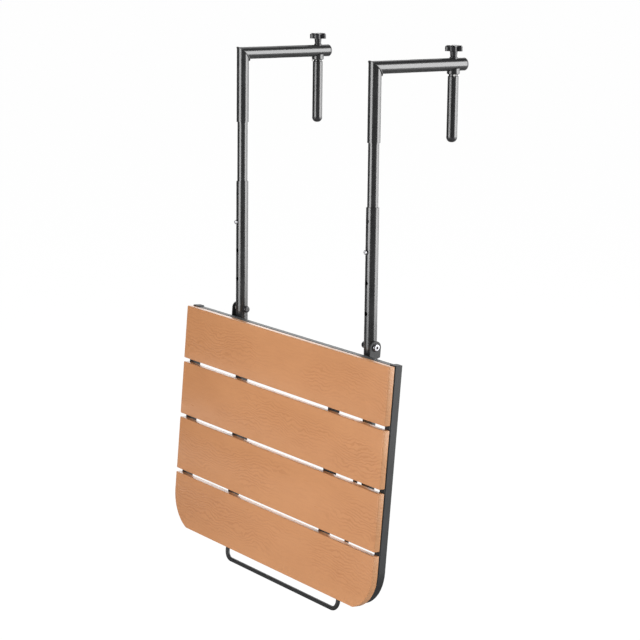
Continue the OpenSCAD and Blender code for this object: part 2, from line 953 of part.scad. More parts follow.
// Wire brace: one rod bent into a U, with its ends turned out through the posts

module brace_half() {
    leg_top = -brace_pivot_bend_r;
    leg_low = -brace_l + brace_bend_r;
    translate([brace_leg_x + brace_pivot_bend_r, 0, 0])
        rotate([0, 90, 0])
            rod(brace_end_x - brace_leg_x - brace_pivot_bend_r);
    translate([brace_leg_x, 0, leg_top]) rod_bend(brace_pivot_bend_r);
    translate([brace_leg_x, 0, leg_low]) rod(leg_top - leg_low);
    translate([brace_leg_x, 0, leg_low]) rotate([0, 180, 0]) rod_bend(brace_bend_r);
    translate([0, 0, -brace_l]) rotate([0, 90, 0]) rod(brace_leg_x - brace_bend_r);
}

module brace_wire() {
    color(dark_steel)
        on_brace() {
            brace_half();
            mirror([1, 0, 0]) brace_half();
        }
}

module push_cap(side) {
    color(plastic)
        at_post(side)
            translate([tube_r + push_cap_gap, 0, brace_z])
                rotate([0, 90, 0])
                    difference() {
                        translate([0, 0, push_cap_l])
                            mirror([0, 0, 1])
                                rotate_extrude() dome_half(push_cap_d / 2, push_cap_l, push_cap_r);
                        translate([0, 0, -cut])
                            cylinder(d = brace_d, h = push_cap_l - cap_wall + cut);
                    }
}

upright(LEFT);  // left_upright
upright(RIGHT);  // right_upright
arm(LEFT);  // left_arm
arm(RIGHT);  // right_arm
arm_cap(LEFT);  // left_arm_cap
arm_cap(RIGHT);  // right_arm_cap
inner_tube(LEFT);  // left_inner_tube
inner_tube(RIGHT);  // right_inner_tube
snap_spring(LEFT);  // left_snap_spring
snap_spring(RIGHT);  // right_snap_spring
snap_button(LEFT);  // left_snap_button
snap_button(RIGHT);  // right_snap_button
saddle_collar(LEFT);  // left_saddle_collar
saddle_collar(RIGHT);  // right_saddle_collar
clamp_tube(LEFT);  // left_clamp_tube
clamp_tube(RIGHT);  // right_clamp_tube
clamp_foot(LEFT);  // left_clamp_foot
clamp_foot(RIGHT);  // right_clamp_foot
clamp_nut(LEFT);  // left_clamp_nut
clamp_nut(RIGHT);  // right_clamp_nut
saddle_washer(LEFT);  // left_saddle_washer
saddle_washer(RIGHT);  // right_saddle_washer
knob(LEFT);  // left_knob
knob(RIGHT);  // right_knob
clamp_screw(LEFT);  // left_clamp_screw
clamp_screw(RIGHT);  // right_clamp_screw
lower_tube(LEFT);  // left_lower_tube
lower_tube(RIGHT);  // right_lower_tube
tube_plug(LEFT);  // left_tube_plug
tube_plug(RIGHT);  // right_tube_plug
hinge_bolt(LEFT);  // left_hinge_bolt
hinge_bolt(RIGHT);  // right_hinge_bolt
hinge_washer(LEFT);  // left_hinge_washer
hinge_washer(RIGHT);  // right_hinge_washer
cap_nut(LEFT);  // left_cap_nut
cap_nut(RIGHT);  // right_cap_nut
frame_hoop();
top_rail();
inner_bar(LEFT);  // left_inner_bar
inner_bar(RIGHT);  // right_inner_bar
end_cap(LEFT);  // left_end_cap
end_cap(RIGHT);  // right_end_cap
hinge_ear(LEFT);  // left_hinge_ear
hinge_ear(RIGHT);  // right_hinge_ear
brace_seat(LEFT);  // left_brace_seat
brace_seat(RIGHT);  // right_brace_seat
slat(0);  // slat_1
slat(1);  // slat_2
slat(2);  // slat_3
slat(3);  // slat_4
slat_screws();
brace_wire();
push_cap(LEFT);  // left_push_cap
push_cap(RIGHT);  // right_push_cap
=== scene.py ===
"""Looks of a folding bar table that hangs on a balcony railing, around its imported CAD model."""

import json
import logging
import math
from dataclasses import dataclass, field
from enum import Enum
from typing import Callable, Iterable, Optional, Union

import bmesh
import bpy
from mathutils import Matrix, Vector


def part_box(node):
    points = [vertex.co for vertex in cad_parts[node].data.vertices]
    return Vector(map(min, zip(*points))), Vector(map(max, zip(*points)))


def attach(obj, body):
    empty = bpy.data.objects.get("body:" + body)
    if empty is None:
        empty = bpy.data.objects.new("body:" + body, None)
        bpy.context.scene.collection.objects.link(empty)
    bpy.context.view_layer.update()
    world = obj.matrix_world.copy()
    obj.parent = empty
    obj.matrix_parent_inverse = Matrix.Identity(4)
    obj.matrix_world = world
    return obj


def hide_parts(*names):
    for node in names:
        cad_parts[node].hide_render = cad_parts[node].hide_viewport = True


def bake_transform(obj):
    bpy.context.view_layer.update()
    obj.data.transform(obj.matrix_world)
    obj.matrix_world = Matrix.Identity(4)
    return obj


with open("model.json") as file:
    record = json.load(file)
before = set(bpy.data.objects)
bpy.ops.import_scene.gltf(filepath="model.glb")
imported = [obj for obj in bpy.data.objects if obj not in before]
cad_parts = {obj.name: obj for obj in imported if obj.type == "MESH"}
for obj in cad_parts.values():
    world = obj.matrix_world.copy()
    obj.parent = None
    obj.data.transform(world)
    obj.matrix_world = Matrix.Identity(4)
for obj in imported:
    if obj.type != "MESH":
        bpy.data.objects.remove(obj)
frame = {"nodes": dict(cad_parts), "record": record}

log = logging.getLogger("railing_table")

Point = tuple[float, float, float]
Colour = tuple[float, float, float]
Range = tuple[float, float]
Shape = bmesh.types.BMesh
Edge = bmesh.types.BMEdge
Face = bmesh.types.BMFace
Piece = bpy.types.Object
Material = bpy.types.Material

MM = 0.001
TINY = 1e-6  # two places nearer to each other than this are the same
MERGE = 1e-7  # points nearer to each other than this become one
LEVEL = 0.99  # a face is level where its normal's Z is above this
WHITE = (1.0, 1.0, 1.0)

# Sockets of a Mix node that blends colours
MIX_FACTOR, MIX_FIRST, MIX_SECOND, MIX_RESULT = 0, 6, 7, 2


class Side(Enum):
    """The two mirrored halves of the table, with the sign of their X."""

    LEFT = -1
    RIGHT = 1

    @property
    def prefix(self) -> str:
        """The first word of this side's node names."""
        return self.name.lower()


class Crease(Enum):
    """The angle in degrees past which an edge stays crisp."""

    MOULDED = 35.0
    CUT = 40.0
    WELDED = 80.0


@dataclass(frozen=True)
class Tabletop:
    """Measures of the tabletop, in its own frame with the hinge axis at its origin.

    Y runs from the face to the back and Z up, as the tabletop hangs folded down.
    """

    width: float = 600 * MM
    depth: float = 400 * MM
    tube: float = 15 * MM
    thick: float = 12 * MM
    gap: float = 7 * MM
    count: int = 4
    face_y: float = -44.05 * MM
    back_y: float = -17.05 * MM
    edge_z: float = -12.05 * MM

    @property
    def board(self) -> float:
        """Width of one slat."""
        return (self.depth - (self.count - 1) * self.gap) / self.count

    @property
    def pitch(self) -> float:
        """From one slat's edge to the same edge of the next."""
        return self.board + self.gap


# Shader maths


class Wire:
    """A shader socket that can be added, multiplied and so on in plain expressions."""

    def __init__(self, board: "Board", socket: bpy.types.NodeSocket) -> None:
        """Wraps a socket.

        Args:
            board: the material that the socket belongs to.
            socket: an output socket.
        """
        self.board = board
        self.socket = socket

    def _math(self, operation: str, *values: "Operand") -> "Wire":
        """Adds one Math node on the given values."""
        return self.board.node("ShaderNodeMath", {"operation": operation}, dict(enumerate(values)))

    def __add__(self, other: "Operand") -> "Wire":
        """Sum."""
        return self._math("ADD", self, other)

    def __sub__(self, other: "Operand") -> "Wire":
        """Difference."""
        return self._math("SUBTRACT", self, other)

    def __rsub__(self, other: float) -> "Wire":
        """Difference, reflected."""
        return self._math("SUBTRACT", other, self)

    def __mul__(self, other: "Operand") -> "Wire":
        """Product."""
        return self._math("MULTIPLY", self, other)

    __radd__ = __add__
    __rmul__ = __mul__

    def sine(self) -> "Wire":
        """Sine of this value in radians."""
        return self._math("SINE", self)

    def floor(self) -> "Wire":
        """The whole number below this value."""
        return self._math("FLOOR", self)

    def clamped(self) -> "Wire":
        """This value held between 0 and 1."""
        return self.board.node("ShaderNodeClamp", {}, {"Value": self})

    def sibling(self, output: str) -> "Wire":
        """Another output of the same node."""
        return Wire(self.board, self.socket.node.outputs[output])

    def above(self, low: float, high: float) -> "Wire":
        """0 below low, 1 above high and smooth between.

        Args:
            low: where the ramp starts.
            high: where the ramp ends.

        Returns:
            The ramped value.
        """
        return self.board.node(
            "ShaderNodeMapRange",
            {"interpolation_type": "SMOOTHSTEP"},
            {"Value": self, "From Min": low, "From Max": high},
        )


Operand = Union[Wire, float]
Paint = Union[Wire, Colour]


class Board:
    """One material or world, and the only place where its nodes are made."""

    def __init__(self, owner: Union[Material, bpy.types.World]) -> None:
        """Empties the node tree of a material or a world and takes it over.

        Args:
            owner: the material or world.
        """
        is_world = isinstance(owner, bpy.types.World)
        self.output_kind = "ShaderNodeOutputWorld" if is_world else "ShaderNodeOutputMaterial"
        owner.use_nodes = True
        self.tree = owner.node_tree
        self.tree.nodes.clear()

    def node(
        self, kind: str, settings: dict, inputs: dict, output: Union[str, int, None] = 0
    ) -> Optional[Wire]:
        """Makes one node.

        Args:
            kind: the node's type.
            settings: properties of the node, set before its sockets are filled.
            inputs: socket name or number to a value, a colour, a vector or a Wire.
            output: name or number of the output that is handed back, or None for a node
                that has none.

        Returns:
            The chosen output.
        """
        made = self.tree.nodes.new(kind)
        for key, value in settings.items():
            setattr(made, key, value)
        for key, value in inputs.items():
            socket = made.inputs[key]
            if isinstance(value, Wire):
                self.tree.links.new(value.socket, socket)
            elif isinstance(value, tuple) and len(value) == 3 and socket.type == "RGBA":
                socket.default_value = (*value, 1.0)
            else:
                socket.default_value = value
        return None if output is None else Wire(self, made.outputs[output])

    def place(self, turn_x: float = 0.0, move: Point = (0.0, 0.0, 0.0)) -> Wire:
        """Object coordinates, moved and then turned about X.

        Args:
            turn_x: the turn in radians.
            move: the point that becomes the origin, in metres.

        Returns:
            The coordinates.
        """
        where = self.node("ShaderNodeTexCoord", {}, {}, "Object")
        shifted = self.node(
            "ShaderNodeVectorMath", {"operation": "SUBTRACT"}, {0: where, 1: move}
        )
        return self.node(
            "ShaderNodeMapping",
            {"vector_type": "POINT"},
            {"Vector": shifted, "Rotation": (turn_x, 0, 0)},
        )

    def parts(self, where: Wire) -> tuple[Wire, Wire, Wire]:
        """The X, Y and Z of coordinates."""
        x = self.node("ShaderNodeSeparateXYZ", {}, {"Vector": where}, "X")
        return x, x.sibling("Y"), x.sibling("Z")

    def joined(self, x: Operand, y: Operand, z: Operand) -> Wire:
        """Coordinates from an X, a Y and a Z."""
        return self.node("ShaderNodeCombineXYZ", {}, {"X": x, "Y": y, "Z": z})

    def noise(self, where: Wire, scale: float, detail: float = 2.0, rough: float = 0.5) -> Wire:
        """Noise between 0 and 1.

        Args:
            where: coordinates.
            scale: lumps per metre.
            detail: octaves.
            rough: weight of the finer octaves.

        Returns:
            The noise value.
        """
        return self.node(
            "ShaderNodeTexNoise",
            {"noise_dimensions": "3D"},
            {"Vector": where, "Scale": scale, "Detail": detail, "Roughness": rough},
            "Fac",
        )

    def mix(self, factor: Operand, first: Paint, second: Paint) -> Wire:
        """Blend of two colours.

        Args:
            factor: 0 for the first colour, 1 for the second.
            first: a colour.
            second: a colour.

        Returns:
            The blended colour.
        """
        inputs = {MIX_FACTOR: factor, MIX_FIRST: first, MIX_SECOND: second}
        return self.node("ShaderNodeMix", {"data_type": "RGBA"}, inputs, MIX_RESULT)

    def bump(self, height: Wire, distance: float, strength: float = 1.0) -> Wire:
        """Normals from a height.

        Args:
            height: the height, from 0 to 1.
            distance: metres that a height of 1 stands for.
            strength: share of the effect.

        Returns:
            The normal.
        """
        return self.node(
            "ShaderNodeBump", {}, {"Height": height, "Distance": distance, "Strength": strength}
        )

    def show(self, shader: Wire) -> None:
        """Links a shader to the tree's output."""
        self.node(self.output_kind, {}, {"Surface": shader}, None)


# Finishes


def toned(colour: Colour, tone: Colour) -> Colour:
    """A colour with each channel multiplied by its share of a tone."""
    return tuple(channel * share for channel, share in zip(colour, tone))


@dataclass(frozen=True)
class Finish:
    """A finish, made as one material.

    In all finishes, a scale is in lumps per metre, a depth in metres, and uneven is how far
    the roughness strays over the surface.
    """

    name: str

    def sockets(self, board: Board) -> dict:
        """What the Principled shader is fed with.

        Args:
            board: the material.

        Returns:
            Socket names and their values or links.
        """
        raise NotImplementedError

    def build(self) -> Material:
        """Makes the material.

        Returns:
            The material.
        """
        material = bpy.data.materials.new(self.name)
        board = Board(material)
        board.show(board.node("ShaderNodeBsdfPrincipled", {}, self.sockets(board)))
        return material


@dataclass(frozen=True)
class PowderCoat(Finish):
    """Dark powder coat with a fine orange-peel skin and dusty patches."""

    colour: Colour = (0.024, 0.0245, 0.025)
    dusty: Colour = (1.4, 1.4, 1.4)
    patch_scale: float = 26.0
    patch_edge: Range = (0.35, 0.75)
    roughness: float = 0.19
    uneven: float = 0.06
    ior: float = 1.74
    peel_scale: float = 450.0
    peel_depth: float = 0.0000015

    def sockets(self, board: Board) -> dict:
        """What the Principled shader is fed with.

        Args:
            board: the material.

        Returns:
            Socket names and their values or links.
        """
        where = board.place()
        cloud = board.noise(where, self.patch_scale, detail=3.0)
        peel = board.noise(where, self.peel_scale)
        dusty = toned(self.colour, self.dusty)
        return {
            "Base Color": board.mix(cloud.above(*self.patch_edge), self.colour, dusty),
            "Roughness": cloud * self.uneven + (self.roughness - self.uneven / 2),
            "IOR": self.ior,
            "Normal": board.bump(peel, self.peel_depth),
        }


@dataclass(frozen=True)
class MouldedPlastic(Finish):
    """Moulded plastic with a faint spark-eroded texture."""

    colour: Colour = (0.02, 0.02, 0.022)
    dusty: Colour = (1.4, 1.4, 1.4)
    cloud_scale: float = 60.0
    roughness: float = 0.28
    uneven: float = 0.1
    grain_scale: float = 1400.0
    grain_depth: float = 0.00003

    def sockets(self, board: Board) -> dict:
        """What the Principled shader is fed with.

        Args:
            board: the material.

        Returns:
            Socket names and their values or links.
        """
        where = board.place()
        grain = board.noise(where, self.grain_scale, detail=1.0)
        cloud = board.noise(where, self.cloud_scale)
        return {
            "Base Color": board.mix(cloud, self.colour, toned(self.colour, self.dusty)),
            "Roughness": cloud * self.uneven + (self.roughness - self.uneven / 2),
            "Normal": board.bump(grain, self.grain_depth),
        }


@dataclass(frozen=True)
class PlatedSteel(Finish):
    """Bright plated steel with soft turning marks and slight clouding."""

    colour: Colour = (0.44, 0.44, 0.46)
    clouded: Colour = (0.78, 0.78, 0.78)
    cloud_scale: float = 240.0
    cloud_edge: Range = (0.3, 0.7)
    roughness: float = 0.40
    uneven: float = 0.18
    mark_scale: float = 1800.0
    mark_depth: float = 0.000008

    def sockets(self, board: Board) -> dict:
        """What the Principled shader is fed with.

        Args:
            board: the material.

        Returns:
            Socket names and their values or links.
        """
        where = board.place()
        cloud = board.noise(where, self.cloud_scale, detail=3.0)
        marks = board.noise(where, self.mark_scale, detail=1.0)
        darker = toned(self.colour, self.clouded)
        return {
            "Base Color": board.mix(cloud.above(*self.cloud_edge), darker, self.colour),
            "Roughness": cloud * self.uneven + (self.roughness - self.uneven / 2),
            "Metallic": 1.0,
            "Normal": board.bump(marks, self.mark_depth),
        }


@dataclass(frozen=True)
class SnapPin(Finish):
    """Steel pin with a bright rounded tip; past the tip the shank is painted nearly black as
    painted shade from its hole, and is rougher.
    """

    tip_y: float
    bright: Colour = (0.76, 0.76, 0.78)
    bright_length: float = 2.4 * MM
    fade: float = 0.3 * MM
    # painted shade: the colour of the shank down in the hole
    dull: Colour = (0.07, 0.07, 0.075)
    dull_rough: float = 0.2
    roughness: float = 0.50
    uneven: float = 0.08
    rub_scale: float = 900.0
    rub_depth: float = 0.000006

    def sockets(self, board: Board) -> dict:
        """What the Principled shader is fed with.

        Args:
            board: the material.

        Returns:
            Socket names and their values or links.
        """
        where = board.place()
        # painted shade: past the bright tip the pin turns nearly black towards its hole
        edge = self.tip_y + self.bright_length
        shank = board.parts(where)[1].above(edge - self.fade, edge + self.fade)
        rub = board.noise(where, self.rub_scale)
        rough = shank * self.dull_rough + rub * self.uneven
        return {
            "Base Color": board.mix(shank, self.bright, self.dull),
            "Roughness": rough + (self.roughness - self.uneven / 2),
            "Metallic": 1.0,
            "Normal": board.bump(rub, self.rub_depth),
        }


@dataclass(frozen=True)
class Streaks:
    """Noise drawn out along the slats.

    Attributes:
        scale: lumps per metre.
        detail: octaves.
        across: squeeze across the slats.
        along: squeeze along them.
        rough: weight of the finer octaves.
    """

    scale: float
    detail: float
    across: float
    along: float = 1.0
    rough: float = 0.5

    def read(self, board: Board, x: Wire, y: Wire, z: Wire) -> Wire:
        """The noise at a point.

        Args:
            board: the material.
            x: place along the slat.
            y: depth of the point.
            z: height of the point.

        Returns:
            The noise value.
        """
        where = board.joined(x * self.along, y, z * self.across)
        return board.noise(where, self.scale, self.detail, self.rough)


@dataclass(frozen=True)
class EmbossedWood(Finish):
    """Light brown slats with a fine embossed grain that runs along the railing.

    Wavy growth rings show along the middle of each slat and fade towards its edges. The
    narrow sides are greyer and darker than the face, partly their own tone and partly
    painted shade against the light that falls on them. A dark line of painted shade runs
    where a slat's end meets the frame, and the left end of the tabletop is painted a little
    darker as painted shade. The fields that end in _tint say how much a layer darkens the
    wood, and those that end in _carve how deep it lies.
    """

    swing: float
    pivot: Point
    top: Tabletop = Tabletop()
    # Colours, and where one gives way to the next
    light: Colour = (0.550, 0.259, 0.117)
    dark: Colour = (0.355, 0.139, 0.051)
    tint_offset: float = 0.29
    # painted shade: how much darker the left end of the tabletop is painted, and where that ends
    left_tint: float = 0.16
    left_end: float = -20 * MM
    # partly painted shade: the narrow sides are a darker, greyer copy of the wood, partly their
    # own tone and partly painted shade
    side_tone: Colour = (0.87, 0.93, 0.97)
    side_fade: Range = (0.9 * MM, 1.5 * MM)
    seam: Colour = (0.030, 0.018, 0.010)
    # painted shade: a dark line along the back edge of each slat's ends, where the slat meets the
    # frame
    seam_reach: float = 1.8 * MM
    seam_soft: float = 1.002
    seam_fade: Range = (1.3 * MM, 0.9 * MM)
    # Surface
    roughness: float = 0.30
    uneven: float = 0.14
    ior: float = 1.42
    emboss: float = 0.00022
    emboss_share: float = 0.8
    # Metres that the pattern moves from one slat to the next, so that no two are alike
    shift_along: float = 1.73
    shift_deep: float = 0.41
    # Growth rings: even ones, crowded outwards, then swayed, curled and left out in patches
    ring_pitch: float = 5.5 * MM
    ring_crowding: float = 260.0
    ring_edge: Range = (-0.1, 0.95)
    ring_band: float = 42 * MM
    ring_core: float = 0.4
    ring_tint: float = 0.29
    ring_carve: float = 0.5
    sway: Streaks = Streaks(scale=3.5, detail=1.0, across=0.2)
    sway_reach: float = 60 * MM
    curl: Streaks = Streaks(scale=17.0, detail=3.0, across=1.5, rough=0.55)
    curl_reach: float = 7.0
    patch: Streaks = Streaks(scale=8.0, detail=2.0, across=1.4, along=0.8)
    patch_edge: Range = (0.36, 0.60)
    # Fibre, pores and blotches, all bent alike
    bend: Streaks = Streaks(scale=9.0, detail=2.0, across=1.5)
    bend_reach: float = 26 * MM
    fibre: Streaks = Streaks(scale=34.0, detail=5.0, across=12.0, rough=0.66)
    fibre_tint: float = 0.40
    fibre_carve: float = 0.25
    pores: Streaks = Streaks(scale=160.0, detail=2.0, across=8.0)
    pore_edge: Range = (0.56, 0.70)
    pore_tint: float = 0.12
    pore_carve: float = 0.3
    blotch: Streaks = Streaks(scale=8.0, detail=3.0, across=1.6, along=0.7)
    blotch_tint: float = 0.38

    def rings(self, board: Board, x: Wire, y: Wire, z: Wire, middle: Wire) -> Wire:
        """The growth rings, 1 on a dark line.

        Args:
            board: the material.
            x: place along the slat.
            y: depth of the point.
            z: height of the point.
            middle: distance from the slat's middle line.

        Returns:
            The lines.
        """
        sway = self.sway.read(board, x, y, z) - 0.5
        across = middle + sway * self.sway_reach
        square = across * across
        curl = self.curl.read(board, x, y, z) * self.curl_reach
        phase = across * (1.0 / self.ring_pitch) + square * self.ring_crowding + curl
        patch = self.patch.read(board, x, y, z)
        core = (self.ring_band * self.ring_core) ** 2
        near = 1.0 - square.above(core, self.ring_band**2)
        lines = (phase * math.tau).sine().above(*self.ring_edge)
        return lines * near * patch.above(*self.patch_edge)

    def coloured(self, board: Board, tint: Wire, x: Wire, y: Wire) -> Wire:
        """The colour of the face, of the narrow sides with their partly painted shade, and of the
        line of painted shade beside the frame.

        Args:
            board: the material.
            tint: 0 for light wood, 1 for dark.
            x: place along the slat.
            y: depth of the point.

        Returns:
            The colour.
        """
        # partly painted shade: the narrow sides take a darker, greyer copy of the wood colours
        light, dark = (toned(colour, self.side_tone) for colour in (self.light, self.dark))
        face = board.mix(tint, self.light, self.dark)
        sides = board.mix(tint, light, dark)
        on_side = y.above(*(self.top.face_y + depth for depth in self.side_fade))
        # painted shade: the dark line along the back edge of the slat's ends, next to the frame
        back = self.top.face_y + self.top.thick
        end = (self.top.width / 2 - self.seam_reach) ** 2
        at_end = (x * x).above(end, end * self.seam_soft)
        beside = at_end * y.above(*(back - height for height in self.seam_fade))
        return board.mix(beside, board.mix(on_side, face, sides), self.seam)

    def sockets(self, board: Board) -> dict:
        """What the Principled shader is fed with.

        Args:
            board: the material.

        Returns:
            Socket names and their values or links.
        """
        along, depth, z = board.parts(board.place(self.swing, self.pivot))
        down = z - (self.top.edge_z + self.top.gap / 2)
        slat = (down * (1.0 / self.top.pitch)).floor()
        middle = down - (slat + 0.5) * self.top.pitch
        x = along + slat * self.shift_along
        y = depth + slat * self.shift_deep
        rings = self.rings(board, x, y, z, middle)
        z = z + self.bend.read(board, x, y, z) * self.bend_reach
        fibre = self.fibre.read(board, x, y, z)
        pores = self.pores.read(board, x, y, z).above(*self.pore_edge)
        blotch = self.blotch.read(board, x, y, z) * self.blotch_tint
        # painted shade: the wood is painted darker towards the left end of the tabletop
        left = along.above(-self.top.width / 2, self.left_end) * -self.left_tint + self.left_tint
        tint = rings * self.ring_tint + pores * self.pore_tint + fibre * self.fibre_tint
        tint = tint + blotch + left - self.tint_offset
        carved = rings * self.ring_carve + pores * self.pore_carve + fibre * self.fibre_carve
        return {
            "Base Color": self.coloured(board, tint.clamped(), along, depth),
            "Roughness": fibre * self.uneven + (self.roughness - self.uneven / 2),
            "IOR": self.ior,
            "Normal": board.bump(1.0 - carved, self.emboss, self.emboss_share),
        }


# Meshes


def finished(shape: Shape, name: str, turned: bool = False) -> Piece:
    """Turns a bmesh into an object at the origin and frees it.

    Args:
        shape: the bmesh, in metres in the CAD's frame.
        name: the object's name.
        turned: True where a spin may have left faces inside out.

    Returns:
        The linked object.
    """
    bmesh.ops.remove_doubles(shape, verts=shape.verts, dist=MERGE)
    if turned:
        bmesh.ops.recalc_face_normals(shape, faces=shape.faces)
    mesh = bpy.data.meshes.new(name)
    shape.to_mesh(mesh)
    shape.free()
    piece = bpy.data.objects.new(name, mesh)
    bpy.context.scene.collection.objects.link(piece)
    return piece


def smooth(piece: Piece, crease: Crease) -> None:
    """Shades a piece smooth, with its sharper edges left crisp.

    Args:
        piece: the piece.
        crease: which edges stay crisp.
    """
    mesh = piece.data
    shape = bmesh.new()
    shape.from_mesh(mesh)
    limit = math.radians(crease.value)
    for edge in shape.edges:
        if len(edge.link_faces) == 2:
            edge.smooth = edge.calc_face_angle(0.0) < limit
    for face in shape.faces:
        face.smooth = True
    shape.to_mesh(mesh)
    shape.free()


def dressed(
    shape: Shape, name: str, finish: Material, crease: Crease = Crease.CUT, turned: bool = False
) -> Piece:
    """Turns a bmesh into a smoothly shaded piece that wears a finish.

    Args:
        shape: the bmesh, in metres in the CAD's frame.
        name: the piece's name.
        finish: its material.
        crease: which edges stay crisp.
        turned: True where a spin may have left faces inside out.

    Returns:
        The piece.
    """
    piece = finished(shape, name, turned)
    smooth(piece, crease)
    piece.data.materials.append(finish)
    return piece


def bevel_edges(
    shape: Shape,
    width: float,
    segments: int,
    chosen: Callable[[Edge], bool],
) -> None:
    """Rounds edges of a shape.

    Args:
        shape: the bmesh.
        width: the rounding in metres.
        segments: its steps.
        chosen: tells which edges.
    """
    bmesh.ops.bevel(
        shape,
        geom=[e for e in shape.edges if chosen(e)],
        offset=width,
        offset_type="OFFSET",
        segments=segments,
        profile=0.5,
        affect="EDGES",
        material=-1,
        clamp_overlap=True,
    )


def whole(shape: Shape) -> list:
    """All points, edges and faces of a shape."""
    return shape.verts[:] + shape.edges[:] + shape.faces[:]


def shift(shape: Shape, by: Point) -> None:
    """Moves a whole shape, in metres."""
    bmesh.ops.translate(shape, vec=Vector(by), verts=shape.verts)


def turn(shape: Shape, by: Matrix) -> None:
    """Turns and moves a whole shape by a matrix."""
    bmesh.ops.transform(shape, matrix=by, verts=shape.verts)


def box_shape(size: Point, centre: Point) -> Shape:
    """A block.

    Args:
        size: its three lengths.
        centre: its middle.

    Returns:
        The bmesh.
    """
    shape = bmesh.new()
    bmesh.ops.create_cube(shape, size=1.0)
    bmesh.ops.scale(shape, vec=Vector(size), verts=shape.verts)
    shift(shape, centre)
    return shape


def box_middle(box: Iterable[Vector]) -> Point:
    """The middle of a box that is given by its low and high corner."""
    return tuple((low + high) / 2 for low, high in zip(*box))


@dataclass
class Placing:
    """Where the sub-assemblies stand, read from the CAD nodes."""

    post_x: float = field(init=False)
    post_y: float = field(init=False)
    hinge_z: float = field(init=False)
    swing: float = math.radians(4.5)

    def __post_init__(self) -> None:
        """Reads the posts and the hinge bolts."""
        self.post_x, self.post_y, _ = box_middle(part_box("right_lower_tube"))
        self.hinge_z = box_middle(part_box("right_hinge_bolt"))[2]

    @property
    def table(self) -> Matrix:
        """From the tabletop's own frame to the CAD's."""
        move = Matrix.Translation((0, self.post_y, self.hinge_z))
        return move @ Matrix.Rotation(-self.swing, 4, "X")


@dataclass
class Slats:
    """The four slats, with rounded edges all round; the last has two round corners."""

    place: Placing
    top: Tabletop = Tabletop()
    sharp: float = 0.3
    edge: float = 1.5 * MM
    edge_steps: int = 3
    corner: float = 66 * MM
    corner_steps: int = 28
    corner_drop: float = 3.5 * MM

    def shape(self, index: int) -> Shape:
        """One slat in the tabletop's frame.

        Args:
            index: 0 for the slat at the hinge.

        Returns:
            The bmesh.
        """
        high = self.top.edge_z - index * self.top.pitch
        low = high - self.top.board
        last = index == self.top.count - 1
        reach = low - (self.corner_drop if last else 0.0)
        shape = box_shape(
            (self.top.width, self.top.thick, high - reach),
            (0, self.top.face_y + self.top.thick / 2, (high + reach) / 2),
        )
        if last:
            self._round_corners(shape, reach, low)
        bevel_edges(
            shape, self.edge, self.edge_steps, lambda e: e.calc_face_angle(0.0) > self.sharp
        )
        return shape

    def _round_corners(self, shape: Shape, reach: float, low: float) -> None:
        """Rounds the two lower corners and trims the arc at the slat's lower edge.

        Args:
            shape: the slat.
            reach: the height that the arcs go down to.
            low: the height of the slat's lower edge.
        """

        def at_corner(edge: Edge) -> bool:
            """True for the two short edges at the lower corners."""
            a, b = (v.co for v in edge.verts)
            return max(abs(a.z - reach), abs(b.z - reach), abs(a.x - b.x)) < TINY

        bevel_edges(shape, self.corner, self.corner_steps, at_corner)
        cut = bmesh.ops.bisect_plane(
            shape,
            geom=whole(shape),
            plane_co=Vector((0, 0, low)),
            plane_no=Vector((0, 0, -1)),
            clear_outer=True,
        )
        rim = [e for e in cut["geom_cut"] if isinstance(e, Edge)]
        bmesh.ops.contextual_create(shape, geom=rim)

    def build(self, wood: Material) -> list[Piece]:
        """Makes and dresses the slats.

        Args:
            wood: their finish.

        Returns:
            The four pieces.
        """
        pieces = []
        for index in range(self.top.count):
            shape = self.shape(index)
            turn(shape, self.place.table)
            node = f"slat_{index + 1}"
            piece = dressed(shape, f"board_{index + 1}", wood)
            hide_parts(node)
            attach(piece, "tabletop")
            pieces.append(piece)
        return pieces


